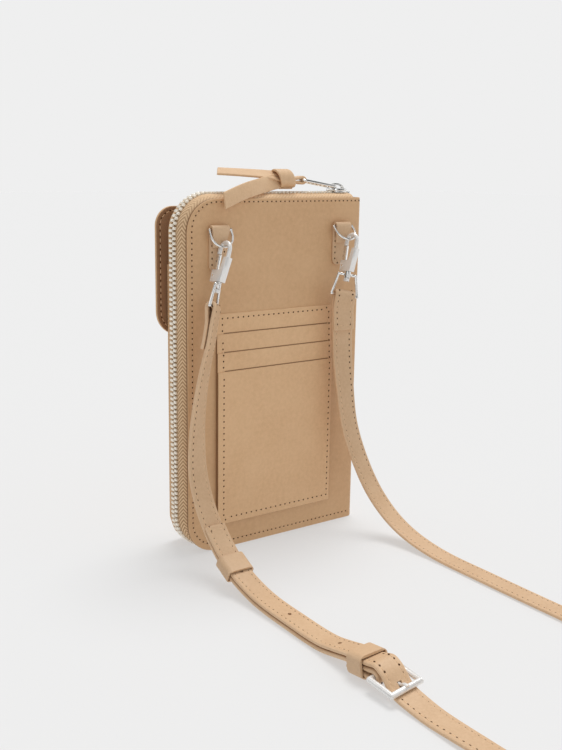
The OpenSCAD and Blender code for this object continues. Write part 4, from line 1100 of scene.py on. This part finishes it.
sew("phone_pocket_stitches", [seam_row(pocket_seam, pocket_face, 1)], "front_half")

# Flap: two plies of leather sewn edge to edge, folded over the pocket's mouth and held on the phone
# side by a strip. The inner ply is painted darker, as painted shade on the flap's inner face.
flap_left, flap_right, flap_foot, flap_top, flap_back, flap_face = -2.6, 110.6, 113.5, 180.4, 26.7, 28.5
foot_corner, top_corner, ply_rise = 13, 10, 0.3
# Painted shade: a darker copy of the panel leather for the flap's inner face
flap_inner_shade = leather("flap_inner_shade", (150, 112, 82), (168, 130, 98), pebbles=1900.0)
flap = block("flap_leather", at(flap_left, flap_back + ply_rise, flap_foot),
             at(flap_right, flap_face - turned_rise, flap_top))
bpy.ops.object.mode_set(mode="EDIT")
rounded_corners([(flap_left, flap_foot), (flap_right, flap_foot)], foot_corner)
rounded_corners([(flap_left, flap_top), (flap_right, flap_top)], top_corner)
pick("FACE", lambda p: near(p.y, flap_face - turned_rise))
pressed(turned_edge + [(1.0, 0.0)] + stitch_groove, keep_open=False)
pick("FACE", lambda p: near(p.y, flap_back + ply_rise))
pressed([(0.2, 0.2), (0.5, 0.1), (1.0, 0.0), (0.35, -0.12), (0.35, 0.12)], keep_open=False)
bpy.ops.object.mode_set(mode="OBJECT")
faced(flap, panel_leather, flap_inner_shade)
for polygon in flap.data.polygons:
    polygon.material_index = int(polygon.center.y < at(0, flap_back + 0.12, 0).y)
softened(flap, 50)
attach(flap, "flap")
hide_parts("flap")
seam_left, seam_foot, seam_right, seam_top = (flap_left + far_inset, flap_foot + far_inset,
                                              flap_right - far_inset, flap_top - far_inset)
foot_turn, top_turn = foot_corner - far_inset, top_corner - far_inset
flap_seam = (arc(seam_left + foot_turn, seam_foot + foot_turn, foot_turn, 180, 1)
             + arc(seam_right - foot_turn, seam_foot + foot_turn, foot_turn, 270, 1)
             + arc(seam_right - top_turn, seam_top - top_turn, top_turn, 0, 1)
             + arc(seam_left + top_turn, seam_top - top_turn, top_turn, 90, 1))
flap_seam.append(flap_seam[0])
flap_rows = [seam_row(flap_seam, flap_face - 0.05, 1), seam_row(flap_seam, flap_back + 0.02, -1)]
sew("flap_stitches", flap_rows, "flap")
fold = block("flap_fold", at(14.4, 20.3, 178.7), at(93.6, 27.4, flap_top))
modified(fold, "BEVEL", width=0.8 * mm, segments=3, limit_method="ANGLE", angle_limit=math.radians(50))
faced(fold, panel_leather)
softened(fold, 45)
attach(fold, "flap")
polished("flap_anchor", "front_half", 0.3 * mm, made=panel_leather)

# Magnetic snap: plated metal discs that hold the flap down, one on the pocket's face and one in the
# flap's inner ply
polished("snap_stud", "front_half", 0.25 * mm, segments=3)
polished("snap_cap", "flap", 0.25 * mm, segments=3)

# Floor and light: a white studio floor, one broad light over the pouch and a bright, even sky. The
# polished metal mirrors a sky with dark bands, as it does among a studio's screens.
floor_half = 6
bpy.ops.mesh.primitive_plane_add(size=2 * floor_half, location=(0, 0, 0))
floor = bpy.context.object
floor.name = "floor"
floor_white, tree, shader = material("floor_white", roughness=0.9, specular=0.0)
shader.inputs["Base Color"].default_value = (0.34, 0.34, 0.34, 1)
shader.inputs["Emission Color"].default_value = (1, 1, 1, 1)
shader.inputs["Emission Strength"].default_value = 0.462
faced(floor, floor_white)
bpy.ops.object.light_add(type="SUN", rotation=(math.radians(-10), math.radians(14), 0))
sun = bpy.context.object
sun.data.energy = 1.9
sun.data.angle = math.radians(30)
world = bpy.data.worlds.new("studio")
bpy.context.scene.world = world
world.use_nodes = True
tree = world.node_tree
tree.nodes.clear()


def ramp(value, *stops):
    """Grey tones along a value from 0 to 1."""
    node = added(tree, "ValToRGB", Fac=value)
    while len(node.color_ramp.elements) < len(stops):
        node.color_ramp.elements.new(0.5)
    for stop, (place, tone) in zip(node.color_ramp.elements, stops):
        stop.position = place
        stop.color = (tone, tone, tone, 1)
    return node.outputs[0]


view = added(tree, "TexCoord").outputs["Generated"]
sideways, height = (added(tree, "SeparateXYZ", Vector=view).outputs[axis] for axis in "XZ")
lean = sums(tree, "ADD", sums(tree, "MULTIPLY", sideways, 0.13), 0.65)
bands = added(tree, "TexWave", {"bands_direction": "X"}, Vector=view, Scale=0.42, Distortion=1.4, Detail=1.0,
              Phase_Offset=1.2).outputs[1]
even = added(tree, "Background", Color=ramp(height, (0.0, 1.0), (0.3, 1.05), (1.0, 0.8)), Strength=lean)
screens = added(tree, "Background", Color=ramp(bands, (0.0, 0.05), (0.25, 0.2), (0.42, 0.85), (1.0, 1.1)),
                Strength=0.95)
seen = added(tree, "Background", Color=(0.863, 0.863, 0.863, 1), Strength=1.0)
path_kind = added(tree, "LightPath").outputs
lit = added(tree, "MixShader", Fac=path_kind["Is Glossy Ray"])
tree.links.new(even.outputs[0], lit.inputs[1])
tree.links.new(screens.outputs[0], lit.inputs[2])
either = added(tree, "MixShader", Fac=path_kind["Is Camera Ray"])
tree.links.new(lit.outputs[0], either.inputs[1])
tree.links.new(seen.outputs[0], either.inputs[2])
tree.links.new(either.outputs[0], added(tree, "OutputWorld").inputs["Surface"])
bpy.context.scene.view_settings.view_transform = "Standard"
